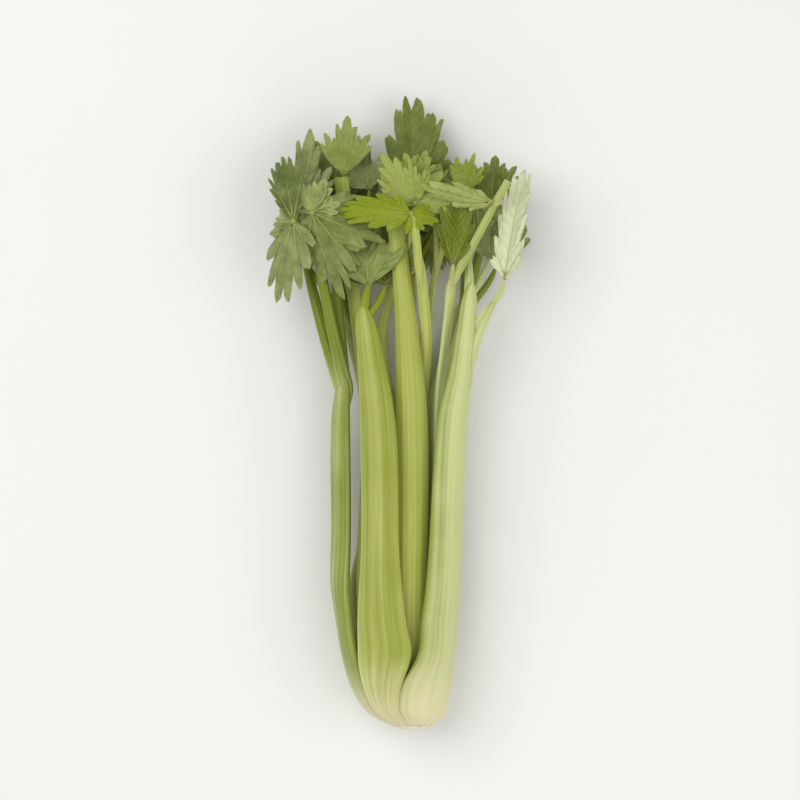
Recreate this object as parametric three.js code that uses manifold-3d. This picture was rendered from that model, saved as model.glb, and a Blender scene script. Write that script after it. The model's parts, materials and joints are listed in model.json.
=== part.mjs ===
// A head of celery, lying on a table as it comes from the shop.
//
// A short butt carries thirteen leaf stalks in three rings: five wide outer ones, five inner ones and
// three thin ones at the heart. Each stalk is a crescent in section, ribbed on its outer side and
// hollowed on its inner side, and the wide bases clasp each other round the butt. Two inner stalks
// are cut off blunt, and the others branch into thin leaf stems that end in groups of toothed leaflets.
//
// Millimetres. +Y runs along the head, from the cut butt to the leaves, +X is to the right for someone
// who looks down on it, and +Z is up. In the numbers below y counts from the cut end and z from the
// table. The origin is then set on the table, under the middle of the head.
import * as THREE from "three";
import { mergeVertices } from "three/addons/utils/BufferGeometryUtils.js";
import Module from "manifold-3d";

const wasm = await Module();
wasm.setup();

// Driving dimensions
const MIDDLE_X = -2; // the middle of the head's box, from the line that x counts from
const MIDDLE_Y = 175; // half of the head's length
const GAP = 0.35; // the air that is left between two pieces that touch
const RIB = 0.45; // how far a rib stands out of a stalk
const EDGE_WALL = 0.55; // a stalk's thickness at its edges, as a share of its thickness in the middle
const WALL_LIMIT = 0.78; // the most of its bend radius that a stalk's thickness takes up
const BLADE = 0.7; // the thickness of a leaf
const NECK = 1.7; // the radius of the knot that joins the leaflets of a group
const STEM_SIDES = 8;
const BASE_ROWS = [12, 25, 40, 60]; // the heights at which a stalk's face and wrap are set at its base

// The whorl of stalks at the base, ring by ring. Each pair is a height and a value.
// reach is the distance from the head's axis to the outer side, wall is the stalk's thickness.
const RINGS = {
  outer: {
    reach: [[3, 13.2], [7, 19.5], [12, 23.4], [25, 28.2], [45, 32], [60, 33.3], [80, 34]],
    wall: [[3, 1.2], [7, 6.4], [12, 7.2], [30, 7.4], [60, 8], [100, 8.6], [170, 8.2], [240, 6.4], [300, 5]],
    ribs: 8,
    insideSteps: 4,
    rows: [3, 7, 12, 18, 26, 36, 50, 70, 100],
    rowStep: 36,
  },
  inner: {
    reach: [[10, 13.8], [14, 16], [25, 19.8], [45, 22.8], [80, 23.6]],
    wall: [[10, 3], [14, 4.4], [25, 5.4], [60, 6.4], [100, 7], [170, 6.8], [250, 5.2], [306, 4.4]],
    ribs: 6,
    insideSteps: 3,
    rows: [10, 16, 26, 45, 75],
    rowStep: 42,
  },
  heart: {
    reach: [[17, 9.9], [25, 13.2], [45, 15.6], [80, 15.6]],
    wall: [[17, 2.8], [25, 4.2], [80, 5.2], [170, 5], [290, 3]],
    ribs: 4,
    insideSteps: 3,
    rows: [17, 26, 45, 80],
    rowStep: 45,
  },
};

// The head's axis leans: its place across and above the table, and how far the whorl is flattened.
const AXIS_X = [[0, 7], [7, 5], [12, 3], [25, 0.6], [45, -0.6], [60, -1.2], [80, -1.2]];
const AXIS_Z = [[0, 25.8], [25, 27.2], [45, 27.6]];
const SQUEEZE_X = [[25, 1], [60, 1.02], [80, 1.07]];
const SQUEEZE_Z = [[12, 1], [25, 0.98], [60, 0.88]];

// The stalks. face is the side that the outer face looks to at the base, in degrees from +X towards +Z,
// and half is half of the arc that the base takes up, both as [height, angle]. widths are
// [height, width]. Each row of path is [y, x, z, face, width] of the outer side's middle line, above
// the whorl.
// A stem runs from, via and to, and is thick[0] wide at its root and thick[1] at its leaf.
const STALKS = [
  {
    name: "stalk_left", ring: "outer", face: [[12, 172]], half: [[12, 32.4]], widths: [[60, 27], [100, 22]],
    path: [[110, -36.6, 30, 156, 21], [170, -36.6, 31, 156, 19.5], [199, -33, 36, 158, 10]],
    stems: [
      { from: [-30, 190, 34], via: [-41, 235, 40], to: [-48.6, 281, 46], thick: [8, 4] },
      { from: [-48, 270, 44.5], via: [-51.5, 276, 48], to: [-56.6, 278.2, 50], thick: [3, 2.2] },
      { from: [-33, 190, 30], via: [-48.5, 236, 27], to: [-56.4, 281, 22], thick: [8, 3.6] },
      { from: [-30.6, 190, 31], via: [-33.5, 224, 31], to: [-37, 262, 32], thick: [7, 4.6] },
    ],
  },
  {
    name: "stalk_front", ring: "outer", face: [[12, 119], [26, 113.5], [41, 106.6], [60, 107.4]],
    half: [[12, 20], [26, 24.5], [41, 29.6]],
    widths: [[42, 31.6], [60, 29.5], [100, 23]],
    path: [[170, -13, 57.5, 100, 20.5], [233, -20.5, 54, 98, 11]],
    stems: [
      { from: [-20.5, 226, 50], via: [-19, 236, 48.5], to: [-17.6, 243, 46.4], thick: [6, 4.4] },
      { from: [-18, 227, 50], via: [-10, 236, 44], to: [-8, 244, 40], thick: [4.4, 3] },
    ],
  },
  {
    name: "stalk_right", ring: "outer", face: [[12, 46], [26, 40.5], [41, 34]],
    half: [[12, 51.5], [26, 47], [41, 41.4]],
    widths: [[42, 36], [60, 34], [100, 29]],
    path: [[170, 33, 48, 44, 24], [200, 37, 49, 45, 18], [246, 40.5, 46, 50, 9.5]],
    stems: [
      { from: [36, 192, 44], via: [41.5, 219, 45], to: [53, 237.4, 41.4], thick: [6.4, 3.8] },
      { from: [52.4, 236.6, 41.4], via: [56, 241, 41.2], to: [57, 246.2, 42.2], thick: [3.8, 3] },
      { from: [38, 240, 42], via: [38, 252, 41], to: [37, 266.2, 37.6], thick: [6, 3.6] },
      { from: [38.5, 238, 41], via: [45, 248, 31], to: [49, 258.6, 28.6], thick: [4, 2.6] },
    ],
  },
  {
    name: "stalk_back_right", ring: "outer", face: [[12, 311]], half: [[12, 37.4]],
    widths: [[60, 28], [100, 24]],
    path: [[110, 22, 1.4, 307, 23], [170, 24, 1.6, 305, 21], [238, 38, 6, 303, 12.5]],
    stems: [
      { from: [36, 232, 9.5], via: [44, 262, 14], to: [51, 291, 24], thick: [6.4, 3.6] },
      { from: [35, 232, 8.5], via: [37, 252, 8], to: [34, 268, 7.5], thick: [5, 3] },
      { from: [37, 232, 9], via: [50, 245, 9], to: [52.8, 254.2, 9.5], thick: [4.6, 3] },
    ],
  },
  {
    name: "stalk_back_left", ring: "outer", face: [[12, 239]], half: [[12, 31.4]],
    widths: [[60, 27], [100, 23]],
    path: [[110, -15, 1, 242, 22], [170, -14, 1, 245, 20.5], [232, -30, 5, 244, 12.5]],
    stems: [
      { from: [-28.5, 226, 9], via: [-37, 256, 9.5], to: [-42, 285, 12.4], thick: [6.4, 3.6] },
      { from: [-29, 226, 8.5], via: [-43, 243, 8], to: [-49.4, 254, 8], thick: [4.6, 3] },
      { from: [-27, 226, 8], via: [-24, 250, 8], to: [-21, 268, 7.5], thick: [4.6, 3] },
    ],
  },
  {
    name: "stalk_middle", ring: "inner", face: [[12, 72]], half: [[12, 34.5]],
    widths: [[60, 21], [100, 20]],
    path: [[170, 6.5, 47.5, 88, 18.5], [245, 1.5, 46.5, 88, 11], [306, -6.5, 44, 88, 9.2]],
    stems: [],
  },
  {
    name: "stalk_inner_right", ring: "inner", face: [[12, 0]], half: [[12, 34.5]],
    widths: [[60, 19], [100, 15]],
    path: [[170, 22.5, 30, -5, 12.5], [215, 27, 40, 20, 9.5], [252, 31, 48.5, 45, 8]],
    stems: [
      { from: [29, 247, 46.4], via: [40, 266, 50], to: [52.6, 290, 52.6], thick: [5, 4.4] },
      { from: [51.8, 288.6, 52.8], via: [55, 294, 54], to: [59, 301, 55], thick: [4.6, 4.2] },
      { from: [28.6, 245, 45.5], via: [28.6, 250, 48.5], to: [29, 254.6, 50.2], thick: [4.6, 3.4] },
    ],
  },
  {
    name: "stalk_inner_left", ring: "inner", face: [[12, 144]], half: [[12, 34.5]],
    widths: [[60, 19], [100, 16]],
    path: [[170, -20.5, 34, 150, 14.5], [250, -28.5, 34.5, 140, 11], [304, -33.5, 33.5, 120, 9.5]],
    stems: [],
  },
  {
    name: "stalk_inner_back", ring: "inner", face: [[12, 288]], half: [[12, 34.5]],
    widths: [[60, 18], [100, 15]],
    path: [[170, 4.5, 14, 277, 12.5], [255, 5, 16, 275, 8.5]],
    stems: [
      { from: [5, 249, 18.5], via: [7, 272, 19], to: [8, 295, 18], thick: [5.4, 3.8] },
      { from: [5.5, 249, 18], via: [12, 262, 15], to: [19, 275, 13], thick: [4, 2.8] },
    ],
  },
  {
    name: "stalk_inner_low", ring: "inner", face: [[12, 216]], half: [[12, 34.5]],
    widths: [[60, 18], [100, 14]],
    path: [[170, -19.5, 20.5, 205, 11.5], [252, -27, 18.5, 205, 8]],
    stems: [
      { from: [-25, 247, 20], via: [-28.5, 276, 22], to: [-31, 304.4, 27], thick: [5, 3.4] },
      { from: [-24.5, 247, 19.5], via: [-19, 268, 20], to: [-17, 296.4, 22], thick: [4, 2.8] },
    ],
  },
  {
    name: "heart_front", ring: "heart", face: [[12, 60]], half: [[12, 56]], widths: [[60, 14], [100, 11]],
    path: [[170, 11, 33, 72, 9], [215, 14.5, 40, 78, 7.4], [262, 10.5, 55, 88, 6]],
    stems: [
      { from: [10, 257, 53], via: [9, 272, 57.5], to: [7, 281.5, 60], thick: [5, 4.6] },
    ],
  },
  {
    name: "heart_left", ring: "heart", face: [[12, 180]], half: [[12, 56]], widths: [[60, 13], [100, 10]],
    path: [[170, -5, 31, 172, 8.5], [215, -11.5, 33, 130, 8], [262, 2, 36, 110, 5.4]],
    stems: [
      { from: [1.6, 257, 34.5], via: [6, 272, 38], to: [8, 286, 46.6], thick: [4.2, 3] },
      { from: [2, 258, 34.5], via: [8, 275, 34], to: [9.5, 297, 36.4], thick: [3.6, 2.6] },
    ],
  },
  {
    name: "heart_right", ring: "heart", face: [[12, 300]], half: [[12, 56]], widths: [[60, 13], [100, 10]],
    path: [[170, 9.5, 24.5, 300, 8.5], [262, 22, 31, 330, 5.4]],
    stems: [
      { from: [20.5, 257, 32.5], via: [20, 278, 31], to: [18.5, 292, 30.6], thick: [3.8, 2.6] },
      { from: [21, 257, 32.5], via: [27, 276, 34], to: [32.3, 290.6, 37.6], thick: [3.8, 2.6] },
    ],
  },
];

// The leaf groups. at is the knot where the leaflets meet. Each leaflet is
// [heading, pitch, roll, length, droop, fold, cut, spread], angles in degrees: heading counts from +X
// towards +Y, pitch is up from the table, roll turns the leaflet about its own rib, droop is how far it
// bends over along its length, fold lifts its two halves about the rib, cut names how its rim is cut,
// and spread opens its lobes.
const LEAVES = [
  { name: "leaf_bright", at: [6.2, 283, 61.5], leaflets: [
    [173, 5, 16, 42, 34, -22, "comb", 1], [-12, -4, -12, 16, 20, -20, "three", 0.7],
    [-104, -6, 0, 13, 20, -16, "three", 0.7],
  ] },
  { name: "leaf_centre", at: [8.4, 289, 48.5], leaflets: [
    [124, 2, -10, 31, 10, 10, "broad", 0.8], [54, 3, -10, 25, 24, -14, "three", 0.9],
  ] },
  { name: "leaf_heart", at: [9.5, 299.4, 37.2], leaflets: [
    [110, 4, 12, 21, 4, 18, "three", 0.8], [76, -3, -6, 19, 10, 14, "three", 0.7],
  ] },
  { name: "leaf_pale_small", at: [18.5, 294, 31], leaflets: [
    [78, 0, 6, 17, 8, 18, "three", 0.9],
  ] },
  { name: "leaf_bright_right", at: [32.5, 292.5, 38.5], leaflets: [
    [70, 10, -16, 28, -10, 18, "three", 0.42], [126, -4, 10, 15, 20, 12, "three", 0.8],
  ] },
  { name: "leaf_arching", at: [50.4, 289, 57.4], leaflets: [
    [174, 11, -38, 42, 22, -14, "strip", 0.66],
  ] },
  { name: "leaf_star", at: [51, 293, 26.5], leaflets: [
    [88, 14, 0, 26, 20, 18, "five", 0.75],
  ] },
  { name: "leaf_far_right", at: [57.2, 248.2, 42.8], leaflets: [
    [81.5, 6, -22, 60, 4, 16, "band", 0.92],
  ] },
  { name: "leaf_trough", at: [29, 256.4, 49.4], leaflets: [
    [87, -7, 4, 33, 6, 34, "spoon", 0.72],
  ] },
  { name: "leaf_grey", at: [49.5, 260.4, 28.5], leaflets: [
    [88, -2, -8, 31, 4, 14, "three", 0.8],
  ] },
  { name: "leaf_right_up", at: [37, 268.2, 37.5], leaflets: [
    [100, -12, 0, 28, 20, 16, "three", 0.9],
  ] },
  { name: "leaf_front_long", at: [-17.4, 244.8, 46], leaflets: [
    [95, -10, -2, 44, 10, 8, "three", 0.72],
  ] },
  { name: "leaf_front_dark", at: [-8, 245.6, 39], leaflets: [
    [98, -14, -4, 36, 8, 10, "three", 1],
  ] },
  { name: "leaf_left_hanging", at: [-48.2, 284.2, 48.5], leaflets: [
    [-68, 10, 6, 51, 24, -12, "fingers", 1.25], [-24, 14, 2, 46, 26, -12, "broad", 0.72],
    [66, -4, 0, 21, 8, 12, "three", 0.9], [112, -14, -6, 20, 4, 8, "three", 0.8],
  ] },
  { name: "leaf_left_finger", at: [-58.4, 279.4, 51.5], leaflets: [
    [-101, 5, 14, 48, 22, -14, "fingers", 1.2], [99, 9, 2, 34, 22, -8, "spoon", 0.5],
    [188, 2, 4, 12, 20, -10, "three", 0.9],
  ] },
  { name: "leaf_left_plane", at: [-57, 283, 22], leaflets: [
    [78, 16, 10, 46, 26, 14, "three", 0.46], [106, 8, 6, 30, 20, 14, "three", 0.4],
  ] },
  { name: "leaf_back_left_top", at: [-42.6, 287.4, 13], leaflets: [
    [96, 6, 4, 37, 10, 12, "three", 0.8], [50, 0, 4, 26, 20, 10, "three", 1],
  ] },
  { name: "leaf_olive", at: [-31, 306.6, 27.6], leaflets: [
    [86, 8, -10, 32, 10, 16, "three", 0.58],
  ] },
  { name: "leaf_grey_middle", at: [-16.9, 298.6, 22.6], leaflets: [
    [108, 6, -6, 26, 16, 14, "three", 0.78],
  ] },
  { name: "leaf_crown", at: [8.2, 297.4, 18], leaflets: [
    [90, 2, -2, 52, 12, 8, "crown", 1],
  ] },
  { name: "leaf_back_right_side", at: [53.6, 256, 9.8], leaflets: [
    [84, 4, 16, 34, 14, 14, "three", 0.6],
  ] },
  { name: "leaf_back_right_mid", at: [33.5, 269.2, 6.4], leaflets: [
    [84, -1, 3, 42, -4, 5, "five", 0.9],
  ] },
  { name: "leaf_back_left_side", at: [-50.6, 255.4, 8], leaflets: [
    [104, 3, -12, 34, 14, 14, "three", 0.7],
  ] },
  { name: "leaf_back_left_mid", at: [-20.6, 269, 6.4], leaflets: [
    [98, -1, -3, 42, -4, 5, "five", 0.9],
  ] },
  { name: "leaf_back_middle", at: [19.4, 276.6, 13], leaflets: [
    [94, -2, 2, 34, 4, 10, "three", 1], [-92, 2, 0, 30, 14, 10, "three", 0.6],
  ] },
];

// How a leaflet is cut. Each lobe is [its middle, half its width, its reach]: the angles are in degrees
// from the rib and the reach is a share of the leaflet's length. teeth is how many points a lobe has, and
// sinus is the reach between two lobes, as a share of the shorter one's.
const CUTS = {
  three: { teeth: 3, sinus: 0.7, lobes: [[-58, 29, 0.8], [0, 29, 1], [58, 29, 0.8]] },
  five: { teeth: 3, sinus: 0.7, lobes: [
    [-98, 20, 0.54], [-54, 24, 0.8], [0, 30, 1], [54, 24, 0.8], [98, 20, 0.54],
  ] },
  broad: { teeth: 3, sinus: 0.8, lobes: [
    [-69, 15, 0.62], [-37, 15, 0.84], [0, 20, 1], [37, 15, 0.84], [69, 15, 0.62],
  ] },
  crown: { teeth: 1, sinus: 0.88, lobes: [
    [-60, 6, 0.5], [-34, 6, 0.62], [-24, 3, 0.82], [-15, 4, 0.84], [-2, 4, 1], [7, 3, 1], [15, 5, 0.9],
    [30, 6, 0.64], [54, 6, 0.44],
  ] },
  comb: { teeth: 1, sinus: 0.86, lobes: [
    [-50, 6, 0.36], [-32, 6, 0.56], [-18, 4, 0.84], [-10, 4, 0.96], [-3, 3, 1], [4, 4, 0.98],
    [12, 4, 0.86], [22, 6, 0.62], [42, 8, 0.38],
  ] },
  fingers: { teeth: 1, sinus: 0.78, lobes: [
    [-44, 8, 0.32], [-24, 6, 0.56], [-13, 4, 0.8], [-4, 4, 1], [4, 3, 0.93], [13, 5, 0.8], [26, 8, 0.6],
    [46, 8, 0.36],
  ] },
  strip: { teeth: 1, sinus: 0.93, lobes: [
    [-52, 9, 0.34], [-30, 9, 0.58], [-12, 7, 0.9], [2, 7, 1], [16, 7, 0.84], [34, 9, 0.56],
    [54, 9, 0.32],
  ] },
  band: { teeth: 1, sinus: 0.9, lobes: [
    [-42, 8, 0.26], [-25, 6, 0.42], [-16, 4, 0.63], [-11, 2, 0.84], [-6.5, 2, 0.98], [0, 3, 1],
    [7, 2, 0.96], [11, 2, 0.8], [16, 4, 0.6], [25, 6, 0.4], [42, 8, 0.22],
  ] },
  spoon: { teeth: 1, sinus: 0.93, lobes: [
    [-66, 8, 0.42], [-46, 8, 0.72], [-30, 7, 0.92], [-15, 7, 1], [0, 7, 0.97], [15, 7, 1],
    [30, 7, 0.92], [46, 8, 0.72], [66, 8, 0.42],
  ] },
};
const LOBE_FALL = 0.16; // how much less the side teeth of a lobe reach than its tip
const TOOTH_ROOM = 0.84; // the share of a lobe's width that its teeth take up
const NOTCH = 0.87; // the reach between two teeth, as a share of the shorter one's
const SWAY_TURN = 3; // how far a wide lobe is turned from its place, in degrees
const SWAY_REACH = 0.08; // how much longer or shorter a wide lobe is than its share
const SHOULDER = 0.16; // the reach where the blade meets the rib's root
const VEIN_SWEEP = 0.14; // how far the side veins curve forward
const INNER_REACH = 0.3; // the reach of the ring of places inside the rim
const WAVE = 0.045; // the height of the waves in the margin, as a share of the length
const FOLD_SOFT = 1.2; // the width over which the fold along the rib is rounded

const STALK_GREEN = { color: "#aab45c", roughness: 0.45, metalness: 0 };
const HEART_GREEN = { color: "#b9bf66", roughness: 0.45, metalness: 0 };
const BUTT_CREAM = { color: "#ddd6b0", roughness: 0.6, metalness: 0 };
const LEAF_GREEN = { color: "#5f7a25", roughness: 0.55, metalness: 0 };

const radians = THREE.MathUtils.degToRad;

// The value at a height, on a smooth curve through [height, value] pairs that is level past its ends
function along(pairs, at) {
  const last = pairs.length - 1;
  if (at <= pairs[0][0]) return pairs[0][1];
  if (at >= pairs[last][0]) return pairs[last][1];
  const i = pairs.findIndex((pair) => pair[0] > at) - 1;
  const slope = (k) => {
    const [before, after] = [pairs[Math.max(k - 1, 0)], pairs[Math.min(k + 1, last)]];
    return (after[1] - before[1]) / (after[0] - before[0]);
  };
  const span = pairs[i + 1][0] - pairs[i][0];
  const t = (at - pairs[i][0]) / span;
  const rise = t * t * (3 - 2 * t);
  const leave = slope(i) * span * t * (1 - t) * (1 - t);
  const arrive = slope(i + 1) * span * t * t * (t - 1);
  return pairs[i][1] + (pairs[i + 1][1] - pairs[i][1]) * rise + leave + arrive;
}

// A geometry's solid, whose shared vertices are merged, with its faces outwards
function solid(geometry) {
  const bare = new THREE.BufferGeometry().setAttribute("position", geometry.getAttribute("position"));
  bare.setIndex(geometry.getIndex());
  const merged = mergeVertices(bare, 1e-4);
  const triVerts = new Uint32Array(merged.index.array);
  const vertProperties = merged.attributes.position.array;
  const made = new wasm.Manifold(new wasm.Mesh({ numProp: 3, vertProperties, triVerts }));
  if (made.volume() > 0) return made;
  triVerts.reverse();
  return new wasm.Manifold(new wasm.Mesh({ numProp: 3, vertProperties, triVerts }));
}

// The triangles that close a ring, as a ladder between its first points, up to split, and the others.
// The side whose next edge has its middle nearer to the start takes the next step.
function ladder(count, split) {
  const triangles = [];
  let [a, b] = [0, count - 1];
  while (a < split || b > split + 1) {
    const firstIsNearer = (a + 0.5) / split <= (count - b - 0.5) / (count - 2 - split);
    const onFirst = b === split + 1 || (a < split && firstIsNearer);
    triangles.push(onFirst ? [a, a + 1, b] : [a, b - 1, b]);
    if (onFirst) a++;
    else b--;
  }
  return triangles;
}

// The geometry of a closed surface through rings of points, with flat ends
function loft(rings, split) {
  const count = rings[0].length;
  const positions = rings.flatMap((ring) => ring.flatMap((p) => [p.x, p.y, p.z]));
  const faces = [];
  for (let row = 0; row + 1 < rings.length; row++) {
    for (let i = 0; i < count; i++) {
      const a = row * count + i;
      const b = row * count + ((i + 1) % count);
      faces.push(a, b, b + count, a, b + count, a + count);
    }
  }
  const top = (rings.length - 1) * count;
  for (const [a, b, c] of ladder(count, split)) faces.push(a, c, b, top + a, top + b, top + c);
  const geometry = new THREE.BufferGeometry();
  geometry.setAttribute("position", new THREE.Float32BufferAttribute(positions, 3));
  geometry.setIndex(faces);
  return geometry;
}

// The knots of one stalk: its place, face, width, wrap and wall at each height
function stalkKnots(stalk) {
  const ring = RINGS[stalk.ring];
  const base = ring.reach.map(([y, reach]) => {
    const face = radians(along(stalk.face, y));
    const x = along(AXIS_X, y) + reach * along(SQUEEZE_X, y) * Math.cos(face);
    const z = along(AXIS_Z, y) + reach * along(SQUEEZE_Z, y) * Math.sin(face);
    return { y, x, z, chord: 2 * reach * Math.sin(radians(along(stalk.half, y))) };
  });
  const clasping = base.filter((knot) => knot.y <= 25);
  const wrapAt = (y) => Math.max(along(stalk.half, y), y < 60 ? 0 : 38);
  const top = stalk.path[stalk.path.length - 1][0];
  return {
    x: [...base.map((k) => [k.y, k.x]), ...stalk.path.map((p) => [p[0], p[1]])],
    z: [...base.map((k) => [k.y, k.z]), ...stalk.path.map((p) => [p[0], p[2]])],
    face: [...BASE_ROWS.map((y) => [y, along(stalk.face, y)]), ...stalk.path.map((p) => [p[0], p[3]])],
    width: [...clasping.map((k) => [k.y, k.chord]), ...stalk.widths, ...stalk.path.map((p) => [p[0], p[4]])],
    wrap: [...BASE_ROWS.map((y) => [y, wrapAt(y)]), [100, 50], [170, 57], [top, 66]],
    wall: ring.wall,
  };
}

// A stalk's section at one height: over its ribbed outer side and back along its hollow inner side
function stalkSection(ring, knots, y, grow) {
  const [x, z, width] = [along(knots.x, y), along(knots.z, y), along(knots.width, y)];
  const [face, wrap] = [radians(along(knots.face, y)), radians(along(knots.wrap, y))];
  const radius = width / 2 / Math.sin(wrap);
  const wall = Math.min(along(knots.wall, y), WALL_LIMIT * radius);
  const widen = wrap + grow / radius;
  const [centreX, centreZ] = [x - radius * Math.cos(face), z - radius * Math.sin(face)];
  const point = (share, distance) => {
    const angle = face + share * widen;
    const height = centreZ + distance * Math.sin(angle);
    return new THREE.Vector3(centreX + distance * Math.cos(angle), y, Math.max(height, grow ? -grow : 0));
  };
  const outside = Array.from({ length: 2 * ring.ribs + 1 }, (_, i) => {
    return point(-1 + i / ring.ribs, radius + (i % 2 ? RIB : 0) + grow);
  });
  const inside = Array.from({ length: ring.insideSteps + 1 }, (_, i) => {
    const share = 1 - (2 * i) / ring.insideSteps;
    const depth = wall * (1 - (1 - EDGE_WALL) * share * share);
    return point(share * 0.96, radius - depth - grow);
  });
  return [...outside, ...inside];
}

// The heights at which a stalk has a section: close together where it bends out of the butt
function stalkRows(stalk) {
  const { rows, rowStep } = RINGS[stalk.ring];
  const top = stalk.path[stalk.path.length - 1][0];
  const last = rows[rows.length - 1];
  const more = Math.ceil((top - last) / rowStep);
  return [...rows, ...Array.from({ length: more }, (_, i) => last + ((top - last) * (i + 1)) / more)];
}

function stalkBody(stalk, grow) {
  const knots = stalkKnots(stalk);
  const rows = stalkRows(stalk);
  const rings = rows.map((y) => stalkSection(RINGS[stalk.ring], knots, y, grow));
  if (grow) {
    rings[0].forEach((p) => (p.y -= grow));
    rings[rings.length - 1].forEach((p) => (p.y += grow));
  }
  return solid(loft(rings, 2 * RINGS[stalk.ring].ribs));
}

// A leaf stem: a tapered round bar along one bend
function stem({ from, via, to, thick }, grow) {
  const line = new THREE.QuadraticBezierCurve3(...[from, via, to].map((p) => new THREE.Vector3(...p)));
  const steps = Math.max(2, Math.round(line.getLength() / 13));
  const frames = line.computeFrenetFrames(steps);
  const rings = Array.from({ length: steps + 1 }, (_, i) => {
    const centre = line.getPointAt(i / steps);
    const radius = (thick[0] + ((thick[1] - thick[0]) * i) / steps) / 2 + grow;
    return Array.from({ length: STEM_SIDES }, (_, k) => {
      const angle = (2 * Math.PI * k) / STEM_SIDES;
      return centre
        .clone()
        .addScaledVector(frames.normals[i], radius * Math.cos(angle))
        .addScaledVector(frames.binormals[i], radius * Math.sin(angle));
    });
  });
  if (grow) rings[steps].forEach((p) => p.addScaledVector(frames.tangents[steps], grow));
  return solid(loft(rings, STEM_SIDES / 2));
}

function fuse(solids) {
  return solids.reduce((sum, piece) => sum.add(piece));
}

function stalkSolid(stalk, grow = 0) {
  return fuse([stalkBody(stalk, grow), ...stalk.stems.map((s) => stem(s, grow))]);
}

// The rim of a leaflet, as [angle, reach] from one side of the rib's root round to the other. sway is a
// number that makes its lobes a little uneven in its own way.
function leafRim({ teeth, sinus, lobes }, spread, sway) {
  const grown = lobes.map(([middle, half, reach], lobe) => {
    const free = Math.min(half / 20, 1);
    const turn = SWAY_TURN * free * Math.sin(2.1 * lobe + sway);
    return [middle + turn, half, reach * (1 + SWAY_REACH * free * Math.sin(3.7 * lobe + 1.3 * sway))];
  });
  const rim = [];
  grown.forEach(([middle, half, reach], lobe) => {
    for (let tooth = 0; tooth < teeth; tooth++) {
      const share = teeth === 1 ? 0 : (2 * tooth) / (teeth - 1) - 1;
      const tip = reach * (1 - LOBE_FALL * Math.abs(share));
      if (tooth > 0) {
        const [angle, before] = rim[rim.length - 1];
        rim.push([(angle + middle + share * half * TOOTH_ROOM) / 2, NOTCH * Math.min(before, tip)]);
      }
      rim.push([middle + share * half * TOOTH_ROOM, tip]);
    }
    const next = grown[lobe + 1];
    if (next) rim.push([(middle + half + next[0] - next[1]) / 2, sinus * Math.min(reach, next[2])]);
  });
  const [first, last] = [rim[0][0], rim[rim.length - 1][0]];
  return [[first - 14, SHOULDER], ...rim, [last + 14, SHOULDER]].map(([a, r]) => [radians(a * spread), r]);
}

// A point of a leaflet's middle surface, from an angle off its rib and a reach from its root
function leafPoint(leaf, angle, reach) {
  const turn = angle * (1 - (VEIN_SWEEP * reach) / leaf.length);
  const [p, q] = [reach * Math.cos(turn), reach * Math.sin(turn)];
  const bend = leaf.droop / leaf.length;
  const forward = Math.sin(bend * p) / bend;
  const fall = (1 - Math.cos(bend * p)) / bend;
  const folded = (Math.hypot(q, FOLD_SOFT) - FOLD_SOFT) * Math.sin(leaf.fold);
  const share = reach / leaf.length;
  const lift = folded + WAVE * leaf.length * share * share * Math.sin(5 * angle + leaf.length);
  return leaf.at
    .clone()
    .addScaledVector(leaf.forward, forward + lift * Math.sin(bend * p))
    .addScaledVector(leaf.side, q * Math.cos(leaf.fold))
    .addScaledVector(leaf.up, lift * Math.cos(bend * p) - fall);
}

// The way a leaflet's upper face looks at a point, from two short steps over its surface
function leafNormal(leaf, angle, reach) {
  const step = 0.02;
  const far = Math.max(reach, 0.5);
  const outward = leafPoint(leaf, angle, far + step).sub(leafPoint(leaf, angle, far - step));
  const across = leafPoint(leaf, angle + step, far).sub(leafPoint(leaf, angle - step, far));
  return outward.cross(across).normalize();
}

function leafFrame(at, [heading, pitch, roll, length, droop, fold]) {
  const [h, p, r] = [heading, pitch, roll].map(radians);
  const forward = new THREE.Vector3(Math.cos(h) * Math.cos(p), Math.sin(h) * Math.cos(p), Math.sin(p));
  const level = new THREE.Vector3(-Math.sin(h), Math.cos(h), 0);
  const over = forward.clone().cross(level);
  const side = level.clone().multiplyScalar(Math.cos(r)).addScaledVector(over, Math.sin(r));
  const up = forward.clone().cross(side);
  const [bend, lift] = [droop, fold].map(radians);
  return { at: new THREE.Vector3(...at), forward, side, up, length, droop: bend, fold: lift };
}

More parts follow.
